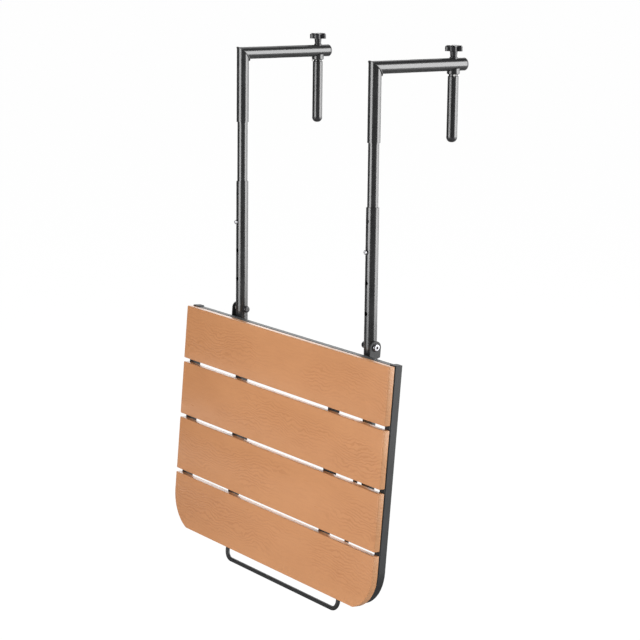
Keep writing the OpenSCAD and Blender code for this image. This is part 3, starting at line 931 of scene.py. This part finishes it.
@dataclass
class ClampKnob:
    """The four-lobed hand knob on a clamp screw, hollow under its head.

    The crown holds the steps of the domed top: how far each lies inside the last, and its
    share of the dome's height.
    """

    side: Side
    hub_foot: float = 5.5 * MM
    hub_top: float = 7.0 * MM
    hub_height: float = 9.0 * MM
    hub_steps: int = 40
    skirt: float = 8.0 * MM
    wall: float = 2.0 * MM
    rib: float = 1.2 * MM
    reach: float = 14.25 * MM
    waist: float = 8.4 * MM
    lobes: int = 4
    lobe_gain: float = 1.25
    lobe_power: float = 0.62
    steps: int = 96
    rim: float = 0.9 * MM
    rim_steps: int = 3
    dome: float = 1.6 * MM
    crown: tuple[Range, ...] = ((2.2 * MM, 0.35), (2.2 * MM, 0.3), (1.8 * MM, 0.2))

    def outline(self, angle: float) -> float:
        """Radius of the head at an angle, with lobes on the diagonals.

        Args:
            angle: the angle in radians.

        Returns:
            The radius in metres.
        """
        wave = 0.5 - 0.5 * math.cos(self.lobes * angle)
        lobe = min(1.0, self.lobe_gain * wave**self.lobe_power)
        return self.waist + (self.reach - self.waist) * lobe

    def _caps(self, shape: Shape, sign: int) -> list[Face]:
        """The large level faces of the head.

        Args:
            shape: the head.
            sign: 1 for those that face up, -1 for those that face down.

        Returns:
            The faces.
        """
        large = [f for f in shape.faces if len(f.verts) > self.steps // 2]
        return [f for f in large if f.normal.z * sign > LEVEL]

    @staticmethod
    def _pull_up(shape: Shape, faces: list[Face], height: float) -> None:
        """Extrudes faces upwards.

        Args:
            shape: the bmesh that they belong to.
            faces: the faces.
            height: how far they go.
        """
        made = bmesh.ops.extrude_face_region(shape, geom=faces)
        points = [v for v in made["geom"] if isinstance(v, bmesh.types.BMVert)]
        bmesh.ops.translate(shape, vec=Vector((0, 0, height)), verts=points)

    def head(self) -> Shape:
        """The head from its rim at Z = 0 up to its top, hollow below.

        Returns:
            The bmesh.
        """
        shape = bmesh.new()
        bmesh.ops.create_circle(shape, cap_ends=True, segments=self.steps, radius=1.0)
        for vert in shape.verts:
            angle = math.atan2(vert.co.y, vert.co.x)
            vert.co = vert.co.normalized() * self.outline(angle)
        self._pull_up(shape, shape.faces[:], self.skirt)
        bmesh.ops.recalc_face_normals(shape, faces=shape.faces)
        under = self._caps(shape, -1)
        bmesh.ops.inset_region(shape, faces=under, thickness=self.wall, depth=0.0)
        hollow = self._caps(shape, -1)
        self._pull_up(shape, hollow, self.skirt - self.wall)
        bmesh.ops.delete(shape, geom=hollow, context="FACES_ONLY")
        bevel_edges(shape, self.rim, self.rim_steps, lambda e: e.is_manifold and self._is_top(e))
        crown = self._caps(shape, 1)
        crown = [f for f in crown if f.calc_center_median().z > self.skirt - self.wall / 2]
        for inset, share in self.crown:
            bmesh.ops.inset_region(shape, faces=crown, thickness=inset, depth=share * self.dome)
        return shape

    def _is_top(self, edge: Edge) -> bool:
        """True for the edges round the head's top."""
        return all(abs(v.co.z - self.skirt) < TINY for v in edge.verts)

    def shape(self) -> Shape:
        """The whole knob, with its foot at Z = 0.

        Returns:
            The bmesh.
        """
        shape = self.head()
        shift(shape, (0, 0, self.hub_height))
        depth = self.hub_height + self.skirt - self.wall
        bmesh.ops.create_cone(
            shape,
            cap_ends=True,
            segments=self.hub_steps,
            radius1=self.hub_foot,
            radius2=self.hub_top,
            depth=depth,
            matrix=Matrix.Translation((0, 0, depth / 2)),
        )
        self._add_ribs(shape)
        return shape

    def _add_ribs(self, shape: Shape) -> None:
        """Adds a thin rib from the hub into each lobe.

        Args:
            shape: the knob.
        """
        middle = ((self.hub_top + self.reach) / 2 - self.wall, 0, self.hub_height + self.skirt / 2)
        size = (self.reach - self.hub_top, self.rib, self.skirt - self.wall, 1.0)
        for lobe in range(self.lobes):
            around = Matrix.Rotation(math.tau * (lobe + 0.5) / self.lobes, 4, "Z")
            rib = around @ Matrix.Translation(middle) @ Matrix.Diagonal(size)
            bmesh.ops.create_cube(shape, size=1.0, matrix=rib)

    def build(self, plastic: Material) -> Piece:
        """Makes and dresses the knob.

        Args:
            plastic: its finish.

        Returns:
            The piece.
        """
        node = f"{self.side.prefix}_knob"
        low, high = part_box(node)
        x, y, _ = box_middle((low, high))
        shape = self.shape()
        shift(shape, (x, y, low.z))
        piece = dressed(shape, f"{self.side.prefix}_hand_knob", plastic, Crease.MOULDED)
        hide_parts(node)
        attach(piece, node)
        return piece


@dataclass(frozen=True)
class Bead:
    """Ripples of a weld bead, shared by the ring and the straight beads."""

    radius: float
    ripple: float = 0.16
    pitch: float = 1.6 * MM
    sides: int = 10

    def swell(self, along: float) -> float:
        """Thickness factor of the bead at a length along it."""
        return 1.0 + self.ripple * math.cos(math.tau * along / self.pitch)


@dataclass
class MitreWeld:
    """Weld ring along the 45 degree mitre between a post and its arm.

    It lies flush outside, and at the inner corner it is thicker by the inner gain.
    """

    side: Side
    place: Placing
    bead: Bead = Bead(1.3 * MM)
    tube_r: float = 10.65 * MM
    flush: float = 0.35
    inner_gain: float = 0.5
    inner_power: int = 8
    steps: int = 160

    def build(self, coat: Material) -> Piece:
        """Makes and dresses the ring.

        Args:
            coat: its finish.

        Returns:
            The piece.
        """
        shape = bmesh.new()
        ring = bmesh.ops.create_circle(
            shape,
            segments=self.bead.sides,
            radius=self.bead.radius,
            matrix=Matrix.Translation((self.tube_r, 0, 0)) @ Matrix.Rotation(math.pi / 2, 4, "X"),
        )
        edges = list({e for v in ring["verts"] for e in v.link_edges})
        bmesh.ops.spin(
            shape,
            geom=ring["verts"] + edges,
            cent=(0, 0, 0),
            axis=(0, 0, 1),
            angle=math.tau,
            steps=self.steps,
            use_merge=True,
        )
        for vert in shape.verts:
            angle = math.atan2(vert.co.y, vert.co.x)
            core = Vector((math.cos(angle), math.sin(angle), 0)) * self.tube_r
            inward = 0.5 + 0.5 * math.sin(angle)
            gain = self.bead.swell(angle * self.tube_r) * (self.flush + inward)
            gain += self.inner_gain * inward**self.inner_power
            vert.co = core + (vert.co - core) * gain
            vert.co.z -= vert.co.y
        shift(shape, (self.side.value * self.place.post_x, self.place.post_y, self.tube_r))
        name = f"{self.side.prefix}_mitre_weld"
        piece = dressed(shape, name, coat, Crease.WELDED, turned=True)
        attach(piece, "hooks")
        return piece


@dataclass
class FrameWelds:
    """Short weld beads where the frame's bars and ears meet, in the tabletop's frame."""

    place: Placing
    top: Tabletop = Tabletop()
    bead: Bead = Bead(1.0 * MM)
    inner_x: float = 138 * MM
    ear_x: float = 201.75 * MM
    ear_thick: float = 3 * MM
    length: float = 11 * MM
    sunk: float = 0.3 * MM
    end_round: float = 2.2
    steps: int = 28

    def runs(self) -> list[tuple[Vector, Vector]]:
        """Where the beads lie.

        Returns:
            For each bead its middle, and the way from there to its end.
        """
        upright = Vector((0, 0, self.length / 2))
        level = Vector((self.length / 2, 0, 0))
        side_x = self.top.width / 2 - self.top.tube
        y = self.top.back_y - self.sunk
        z = self.top.edge_z - self.top.tube / 2
        found = []
        for side in Side:
            found.append((Vector((side.value * side_x, y, z)), upright))
            for inner in (-self.top.tube, self.top.tube - self.top.depth):
                bar = Vector((side.value * self.inner_x, y, self.top.edge_z + inner))
                found.append((bar, level))
            for x in (self.ear_x, self.ear_x + self.ear_thick):
                found.append((Vector((side.value * x, self.top.back_y, z)), upright))
        return found

    def build(self, coat: Material) -> Piece:
        """Makes and dresses the beads as one piece.

        Args:
            coat: their finish.

        Returns:
            The piece.
        """
        shape = bmesh.new()
        for middle, reach in self.runs():
            self._add_run(shape, middle, reach)
        turn(shape, self.place.table)
        piece = dressed(shape, "frame_welds", coat, Crease.WELDED, turned=True)
        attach(piece, "tabletop")
        return piece

    def _add_run(self, shape: Shape, middle: Vector, reach: Vector) -> None:
        """Adds one rippled bead with rounded ends.

        Args:
            shape: the bmesh that takes it.
            middle: its middle.
            reach: the way from there to its end.
        """
        half = reach.length
        made = bmesh.ops.create_uvsphere(
            shape, u_segments=self.bead.sides, v_segments=self.steps, radius=1.0
        )
        for vert in made["verts"]:
            along = vert.co.z
            round_r = math.sqrt(max(0.0, 1.0 - along * along))
            wide = min(1.0, round_r * self.end_round) / max(round_r, TINY)
            gain = self.bead.radius * wide * self.bead.swell(along * half)
            vert.co = Vector((vert.co.x * gain, vert.co.y * gain, along * half))
        facing = reach.to_track_quat("Z", "Y").to_matrix().to_4x4()
        where = Matrix.Translation(middle) @ facing
        bmesh.ops.transform(shape, matrix=where, verts=made["verts"])


@dataclass(frozen=True)
class PanHead:
    """A pan head with a cross recess, built on its own axis along +Z."""

    radius: float = 4.0 * MM
    top_radius: float = 2.5 * MM
    height: float = 2.2 * MM
    recess: float = 1.9 * MM
    slot: float = 0.45 * MM
    depth: float = 0.9 * MM
    segments: int = 24
    rounding: float = 0.32
    rounding_steps: int = 3
    lip: float = 0.08 * MM

    def add(self, shape: Shape, where: Matrix) -> None:
        """Adds one head, standing on the surface at the matrix's origin.

        Args:
            shape: the bmesh that takes it.
            where: its place, with +Z pointing out of the surface.
        """
        head = bmesh.new()
        bmesh.ops.create_cone(
            head,
            cap_ends=True,
            segments=self.segments,
            radius1=self.radius,
            radius2=self.top_radius,
            depth=self.height,
            matrix=Matrix.Translation((0, 0, self.height / 2)),
        )
        bevel_edges(
            head,
            self.height * self.rounding,
            self.rounding_steps,
            lambda e: all(v.co.z > self.height / 2 for v in e.verts),
        )
        self._sink_cross(head)
        turn(head, where)
        scratch = bpy.data.meshes.new("head_scratch")
        head.to_mesh(scratch)
        head.free()
        shape.from_mesh(scratch)
        bpy.data.meshes.remove(scratch)

    def _sink_cross(self, head: Shape) -> None:
        """Cuts the cross out of the top face and sinks it.

        Args:
            head: the head.
        """
        for axis in (Vector((1, 0, 0)), Vector((0, 1, 0))):
            for place in (-self.recess, -self.slot, self.slot, self.recess):
                top = [f for f in head.faces if f.normal.z > LEVEL]
                rim = {e for f in top for e in f.edges}
                points = {v for f in top for v in f.verts}
                bmesh.ops.bisect_plane(
                    head, geom=[*points, *rim, *top], plane_co=axis * place, plane_no=axis
                )
        cross = []
        for face in head.faces:
            mid = face.calc_center_median()
            near, far = sorted((abs(mid.x), abs(mid.y)))
            if face.normal.z > LEVEL and near < self.slot and far < self.recess:
                cross.append(face)
        bmesh.ops.inset_region(head, faces=cross, thickness=self.lip, depth=-self.depth)


@dataclass
class SlatScrews:
    """The heads of the screws that hold the slats, standing where the CAD's heads stand.

    Each head is turned on from the last one by the twist, in degrees.
    """

    place: Placing
    top: Tabletop = Tabletop()
    head: PanHead = PanHead()
    twist: int = 37

    def places(self) -> list[Matrix]:
        """Where each head stands, found from the CAD's screws.

        Returns:
            The places, in rows from the far edge upwards.
        """
        shape = bmesh.new()
        shape.from_mesh(frame["nodes"]["slat_screws"].data)
        turn(shape, self.place.table.inverted())
        waiting = set(shape.verts)
        found = []
        while waiting:
            island = self._island(waiting)
            x = sum(v.co.x for v in island) / len(island)
            low = min(v.co.z for v in island)
            high = max(v.co.z for v in island)
            out = Matrix.Translation((x, self.top.back_y, (low + high) / 2))
            found.append(out @ Matrix.Rotation(-math.pi / 2, 4, "X"))
        shape.free()
        return sorted(found, key=lambda m: (round(m.translation.z, 4), m.translation.x))

    @staticmethod
    def _island(waiting: set[bmesh.types.BMVert]) -> list[bmesh.types.BMVert]:
        """Takes one connected group of points out of a set.

        Args:
            waiting: the set, which loses the group.

        Returns:
            The group.
        """
        stack = [waiting.pop()]
        island = []
        while stack:
            vert = stack.pop()
            island.append(vert)
            for edge in vert.link_edges:
                other = edge.other_vert(vert)
                if other in waiting:
                    waiting.remove(other)
                    stack.append(other)
        return island

    def build(self, metal: Material) -> Piece:
        """Makes and dresses all heads as one piece that stands for the CAD's screws.

        Args:
            metal: their finish.

        Returns:
            The piece.
        """
        shape = bmesh.new()
        for number, where in enumerate(self.places()):
            twist = Matrix.Rotation(math.radians(self.twist * number % 90), 4, "Z")
            self.head.add(shape, self.place.table @ where @ twist)
        piece = dressed(shape, "slat_screw_heads", metal, Crease.MOULDED)
        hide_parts("slat_screws")
        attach(piece, "tabletop")
        return piece


@dataclass
class CollarRivet:
    """One small pale rivet across the neck below a saddle collar, at its outer front."""

    side: Side
    head: PanHead = PanHead(
        radius=1.6 * MM,
        top_radius=1.25 * MM,
        height=1.0 * MM,
        recess=0.8 * MM,
        slot=0.2 * MM,
        depth=0.36 * MM,
        segments=20,
    )
    below_arm: float = 6.3 * MM
    tube_r: float = 10.75 * MM
    sunk: float = 0.3 * MM
    bearing: float = math.radians(-30)

    def build(self, plastic: Material) -> Piece:
        """Makes and dresses the rivet.

        Args:
            plastic: its finish.

        Returns:
            The piece.
        """
        x, y, _ = box_middle(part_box(f"{self.side.prefix}_clamp_tube"))
        out = Vector((self.side.value * math.cos(self.bearing), math.sin(self.bearing), 0))
        facing = out.to_track_quat("Z", "Y").to_matrix().to_4x4()
        foot = Vector((x, y, -self.below_arm)) + out * (self.tube_r - self.sunk)
        shape = bmesh.new()
        self.head.add(shape, Matrix.Translation(foot) @ facing)
        piece = dressed(shape, f"{self.side.prefix}_collar_rivet", plastic, Crease.MOULDED)
        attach(piece, f"{self.side.prefix}_clamp")
        return piece


@dataclass
class SnapSpring:
    """Flat spring inside an inner tube, with a rear leg, a fold and a front leg."""

    side: Side
    strip: float = 0.8 * MM
    foot_corner: float = 2.5 * MM
    foot_steps: int = 6
    leg_steps: int = 24
    fold_steps: int = 28

    @property
    def node(self) -> str:
        """The CAD node that the spring stands for."""
        return f"{self.side.prefix}_snap_spring"

    @property
    def fold_z(self) -> float:
        """Height where the straight legs end and the fold begins."""
        low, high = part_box(self.node)
        return high.z - (high.y - low.y) / 2

    def leg(self, y: float) -> Shape:
        """A straight leg with a rounded foot, cut into short lengths.

        Args:
            y: the middle of its thickness.

        Returns:
            The bmesh.
        """
        low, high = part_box(self.node)
        size = (high.x - low.x, self.strip, self.fold_z - low.z)
        shape = box_shape(size, ((low.x + high.x) / 2, y, (low.z + self.fold_z) / 2))

        def at_foot(edge: Edge) -> bool:
            """True for the two short edges at the foot's corners."""
            a, b = (v.co for v in edge.verts)
            return max(a.z, b.z) < low.z + TINY and abs(a.x - b.x) < TINY

        bevel_edges(shape, self.foot_corner, self.foot_steps, at_foot)
        start = low.z + self.foot_corner
        for step in range(1, self.leg_steps):
            cut = start + step * (size[2] - self.foot_corner) / self.leg_steps
            bmesh.ops.bisect_plane(
                shape, geom=whole(shape), plane_co=(0, 0, cut), plane_no=(0, 0, 1)
            )
        return shape

    def add_fold(self, shape: Shape) -> None:
        """Carries the rear leg's top over to the front leg in half a turn.

        Args:
            shape: the rear leg.
        """
        level = [f for f in shape.faces if f.normal.z > LEVEL]
        top = [f for f in level if f.calc_center_median().z > self.fold_z - TINY]
        edges = list({e for f in top for e in f.edges})
        verts = list({v for f in top for v in f.verts})
        bmesh.ops.spin(
            shape,
            geom=verts + edges + top,
            cent=(0, box_middle(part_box(self.node))[1], self.fold_z),
            axis=(1, 0, 0),
            angle=math.pi,
            steps=self.fold_steps,
        )

    def build(self, steel: Material) -> list[Piece]:
        """Makes and dresses the rear leg with the fold, and the front leg.

        Args:
            steel: the finish.

        Returns:
            The two pieces.
        """
        low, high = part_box(self.node)
        rear_shape = self.leg(high.y - self.strip / 2)
        rear_shape.normal_update()
        self.add_fold(rear_shape)
        rear = dressed(rear_shape, f"{self.side.prefix}_spring_rear", steel, turned=True)
        front_shape = self.leg(low.y + self.strip / 2)
        front = dressed(front_shape, f"{self.side.prefix}_spring_front", steel)
        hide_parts(self.node)
        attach(rear, "hooks")
        self.fold_z
        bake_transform(front)
        return [rear, front]


# Dressing of the CAD nodes


@dataclass
class Wardrobe:
    """The finishes, and which of them each CAD node wears."""

    place: Placing
    made: dict[str, Material] = field(default_factory=dict)

    def stock(self) -> None:
        """Makes one material for each slot of the record."""
        satin = PowderCoat(
            "satin_coat",
            colour=(0.020, 0.021, 0.022),
            roughness=0.50,
            ior=1.50,
            peel_depth=0.000003,
        )
        strip = PlatedSteel(
            "spring_strip", colour=(0.36, 0.36, 0.38), roughness=0.34, uneven=0.2
        )
        nylon = MouldedPlastic("nylon", colour=(0.62, 0.62, 0.60), roughness=0.45)
        pivot = (0.0, self.place.post_y, self.place.hinge_z)
        finishes = {
            "black_tube": PowderCoat("gloss_coat"),
            "black_frame": satin,
            "black_plastic": MouldedPlastic("black_moulding"),
            "zinc_steel": PlatedSteel("zinc_plate"),
            "button_steel": SnapPin("polished_pin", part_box("left_snap_button")[0].y),
            "spring_steel": strip,
            "nylon": nylon,
            "slat_wood": EmbossedWood("embossed_wood", self.place.swing, pivot),
        }
        self.made = {slot: finish.build() for slot, finish in finishes.items()}

    def dress(self) -> int:
        """Gives every CAD node the finish of its slot; the plugs of the top rail are duller.

        Returns:
            How many nodes were dressed.
        """
        plug = MouldedPlastic("plug_moulding", roughness=0.60).build()
        slots = {s["node"]: s["material_slot"] for s in frame["record"]["subparts"]}
        for name, node in frame["nodes"].items():
            finish = plug if name.endswith("_end_cap") else self.made[slots[name]]
            node.data.materials.clear()
            node.data.materials.append(finish)
        return len(frame["nodes"])


# Studio


def area_lamp(name: str, width: float, height: float, radiance: float) -> Piece:
    """A flat lamp that the camera doesn't see.

    Args:
        name: its name.
        width: its width in metres.
        height: its height in metres.
        radiance: how bright its face is.

    Returns:
        The lamp, at the origin and facing down.
    """
    data = bpy.data.lights.new(name, "AREA")
    data.shape = "RECTANGLE"
    data.size, data.size_y = width, height
    data.energy = radiance * math.pi * width * height
    lamp = bpy.data.objects.new(name, data)
    lamp.visible_camera = False
    bpy.context.scene.collection.objects.link(lamp)
    return lamp


def only_reflected(sheet: Piece, shade: float) -> None:
    """Paints a sheet nearly black and shows it to reflections alone.

    Args:
        sheet: the sheet.
        shade: how pale its black is.
    """
    black = bpy.data.materials.new(sheet.name)
    board = Board(black)
    board.show(board.node("ShaderNodeBsdfDiffuse", {}, {"Color": (shade,) * 3}))
    sheet.data.materials.append(black)
    sheet.visible_camera = False
    sheet.visible_diffuse = False
    sheet.visible_transmission = False
    sheet.visible_shadow = False


def shown_directly(board: Board) -> Wire:
    """1 for rays that carry the plain background straight to the picture.

    Args:
        board: the floor's material or the world.

    Returns:
        The share.
    """
    path = board.node("ShaderNodeLightPath", {}, {}, "Is Camera Ray")
    glossy, through = path.sibling("Is Glossy Ray"), path.sibling("Is Transmission Ray")
    return (path + glossy + through).clamped()


@dataclass(frozen=True)
class Softbox:
    """A large flat lamp that stands upright and faces the table from one side.

    Bearings are degrees from +X towards +Y.
    """

    name: str
    bearing: float
    width: float
    low: float
    high: float
    radiance: float
    distance: float = 3.0

    def build(self) -> None:
        """Makes the lamp."""
        lamp = area_lamp(self.name, self.width, self.high - self.low, self.radiance)
        angle = math.radians(self.bearing)
        away = Vector((math.cos(angle), math.sin(angle), 0)) * self.distance
        lamp.location = away + Vector((0, 0, (self.low + self.high) / 2))
        lamp.rotation_euler = (-away).to_track_quat("-Z", "Y").to_euler()


@dataclass(frozen=True)
class Overhead:
    """A large flat lamp above the table that only widens the plain light from above."""

    size: float = 2.4
    height: float = 2.6
    radiance: float = 1.6

    def build(self) -> None:
        """Makes the lamp."""
        lamp = area_lamp("overhead", self.size, self.size, self.radiance)
        lamp.location = (0, 0, self.height)
        lamp.visible_glossy = False


@dataclass(frozen=True)
class DarkFlag:
    """A black curved sheet, seen only in reflections, as studios hang round glossy tubes.

    Bearings are degrees from +X towards +Y and elevations degrees above the horizon.
    """

    name: str
    start: float
    end: float
    lowest: float
    centre_z: float = -0.1
    radius: float = 2.4
    shade: float = 0.012
    steps: int = 24

    def build(self) -> None:
        """Makes the sheet, from its lowest elevation up to the zenith."""
        shape = bmesh.new()
        low = math.radians(self.lowest)
        foot = Vector((math.cos(low), 0, math.sin(low))) * self.radius
        first = bmesh.ops.create_vert(shape, co=foot)["vert"]
        bmesh.ops.spin(
            shape,
            geom=first,
            cent=(0, 0, 0),
            axis=(0, -1, 0),
            angle=math.pi / 2 - low,
            steps=self.steps,
        )
        turn(shape, Matrix.Rotation(math.radians(self.start), 4, "Z"))
        bmesh.ops.spin(
            shape,
            geom=whole(shape),
            cent=(0, 0, 0),
            axis=(0, 0, 1),
            angle=math.radians(self.end - self.start),
            steps=self.steps,
        )
        shift(shape, (0, 0, self.centre_z))
        only_reflected(finished(shape, self.name), self.shade)


@dataclass(frozen=True)
class Studio:
    """Floor, world, lamps and dark flags, all set round the Z axis."""

    floor_z: float = -1.08
    floor_half: float = 90.0
    floor_colour: Colour = (0.86, 0.86, 0.86)
    floor_glow: float = 0.93
    floor_white: float = 1.04
    fill: float = 0.40
    card_rise: float = 4 * MM
    card_radius: float = 1.7
    card_steps: int = 96
    card_shade: float = 0.18
    lamps: tuple[Union[Softbox, Overhead], ...] = (
        Softbox("left_softbox", -89.0, width=2.1, low=-0.98, high=1.0, radiance=4.8),
        Softbox("right_softbox", 38.0, width=1.4, low=-0.97, high=1.9, radiance=6.0),
        Softbox("far_right_softbox", 69.0, width=2.0, low=-0.97, high=1.9, radiance=3.1),
        Softbox("rear_softbox", 143.0, width=2.2, low=-1.05, high=1.2, radiance=1.3),
        Overhead(),
    )
    flags: tuple[DarkFlag, ...] = (
        DarkFlag("front_flag", start=-70.0, end=20.0, lowest=-24.0),
        DarkFlag("left_flag", start=-178.0, end=-108.0, lowest=-34.0),
        DarkFlag("right_top_flag", start=20.0, end=110.0, lowest=40.0),
        DarkFlag("left_top_flag", start=-108.0, end=-70.0, lowest=30.0),
    )

    def build(self) -> None:
        """Makes the whole studio."""
        self._floor()
        self._world()
        for item in (*self.lamps, *self.flags):
            item.build()
        self._floor_card()

    def _floor(self) -> None:
        """Makes the pale floor that keeps the table's shadow."""
        shape = bmesh.new()
        bmesh.ops.create_grid(shape, x_segments=2, y_segments=2, size=self.floor_half)
        shift(shape, (0, 0, self.floor_z))
        floor = finished(shape, "floor")
        pale = bpy.data.materials.new("pale_floor")
        board = Board(pale)
        paint = board.node("ShaderNodeBsdfDiffuse", {}, {"Color": self.floor_colour})
        glow = board.node(
            "ShaderNodeEmission", {}, {"Color": WHITE, "Strength": self.floor_white}
        )
        share = shown_directly(board) * self.floor_glow
        board.show(board.node("ShaderNodeMixShader", {}, {0: share, 1: paint, 2: glow}))
        pale.cycles.emission_sampling = "NONE"
        floor.data.materials.append(pale)

    def _world(self) -> None:
        """Makes the soft fill light that shows as plain white."""
        world = bpy.data.worlds.new("studio_world")
        board = Board(world)
        strength = shown_directly(board) * (1.0 - self.fill) + self.fill
        board.show(
            board.node("ShaderNodeBackground", {}, {"Color": WHITE, "Strength": strength})
        )
        bpy.context.scene.world = world

    def _floor_card(self) -> None:
        """Makes the dark round card on the floor, seen only in reflections."""
        shape = bmesh.new()
        bmesh.ops.create_circle(
            shape, cap_ends=True, segments=self.card_steps, radius=self.card_radius
        )
        shift(shape, (0, 0, self.floor_z + self.card_rise))
        only_reflected(finished(shape, "floor_card"), self.card_shade)


@dataclass(frozen=True)
class PhotoCamera:
    """The camera at the photograph's viewing angle, with its angles in degrees."""

    position: Point = (2.7156, -1.8993, 0.2342)
    azimuth: float = 54.692
    elevation: float = 11.270
    roll: float = 0.69
    lens: float = 112.5
    sensor: float = 36.0
    nearest: float = 0.1
    farthest: float = 300.0

    def build(self) -> None:
        """Makes the camera and gives it to the scene."""
        swing, tilt, lean = (math.radians(v) for v in (self.azimuth, self.elevation, self.roll))
        ahead = Vector(
            (-math.sin(swing) * math.cos(tilt), math.cos(swing) * math.cos(tilt), -math.sin(tilt))
        )
        right = Vector((math.cos(swing), math.sin(swing), 0))
        up = right.cross(ahead)
        across = right * math.cos(lean) + up * math.sin(lean)
        upward = up * math.cos(lean) - right * math.sin(lean)
        data = bpy.data.cameras.new("photo_camera")
        data.lens = self.lens
        data.sensor_width = self.sensor
        data.clip_start, data.clip_end = self.nearest, self.farthest
        camera = bpy.data.objects.new("photo_camera", data)
        facing = Matrix((across, upward, -ahead)).transposed().to_4x4()
        camera.matrix_world = Matrix.Translation(self.position) @ facing
        bpy.context.scene.collection.objects.link(camera)
        bpy.context.scene.camera = camera


def main() -> None:
    """Builds the pieces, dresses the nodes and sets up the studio."""
    logging.basicConfig(level=logging.INFO, format="%(message)s")
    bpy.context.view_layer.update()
    bpy.context.scene.view_settings.view_transform = "Standard"
    place = Placing()
    wardrobe = Wardrobe(place)
    wardrobe.stock()
    log.info("dressed %d nodes", wardrobe.dress())
    for board in Slats(place).build(wardrobe.made["slat_wood"]):
        log.info("built %s", board.name)
    for side in Side:
        log.info("built %s", ClampKnob(side).build(wardrobe.made["black_plastic"]).name)
        log.info("built %s", MitreWeld(side, place).build(wardrobe.made["black_tube"]).name)
        log.info("built %s", CollarRivet(side).build(wardrobe.made["nylon"]).name)
        for strip in SnapSpring(side).build(wardrobe.made["spring_steel"]):
            log.info("built %s", strip.name)
    log.info("built %s", FrameWelds(place).build(wardrobe.made["black_frame"]).name)
    log.info("built %s", SlatScrews(place).build(wardrobe.made["zinc_steel"]).name)
    Studio().build()
    PhotoCamera().build()
    bpy.context.view_layer.update()


if __name__ == "__main__":
    main()
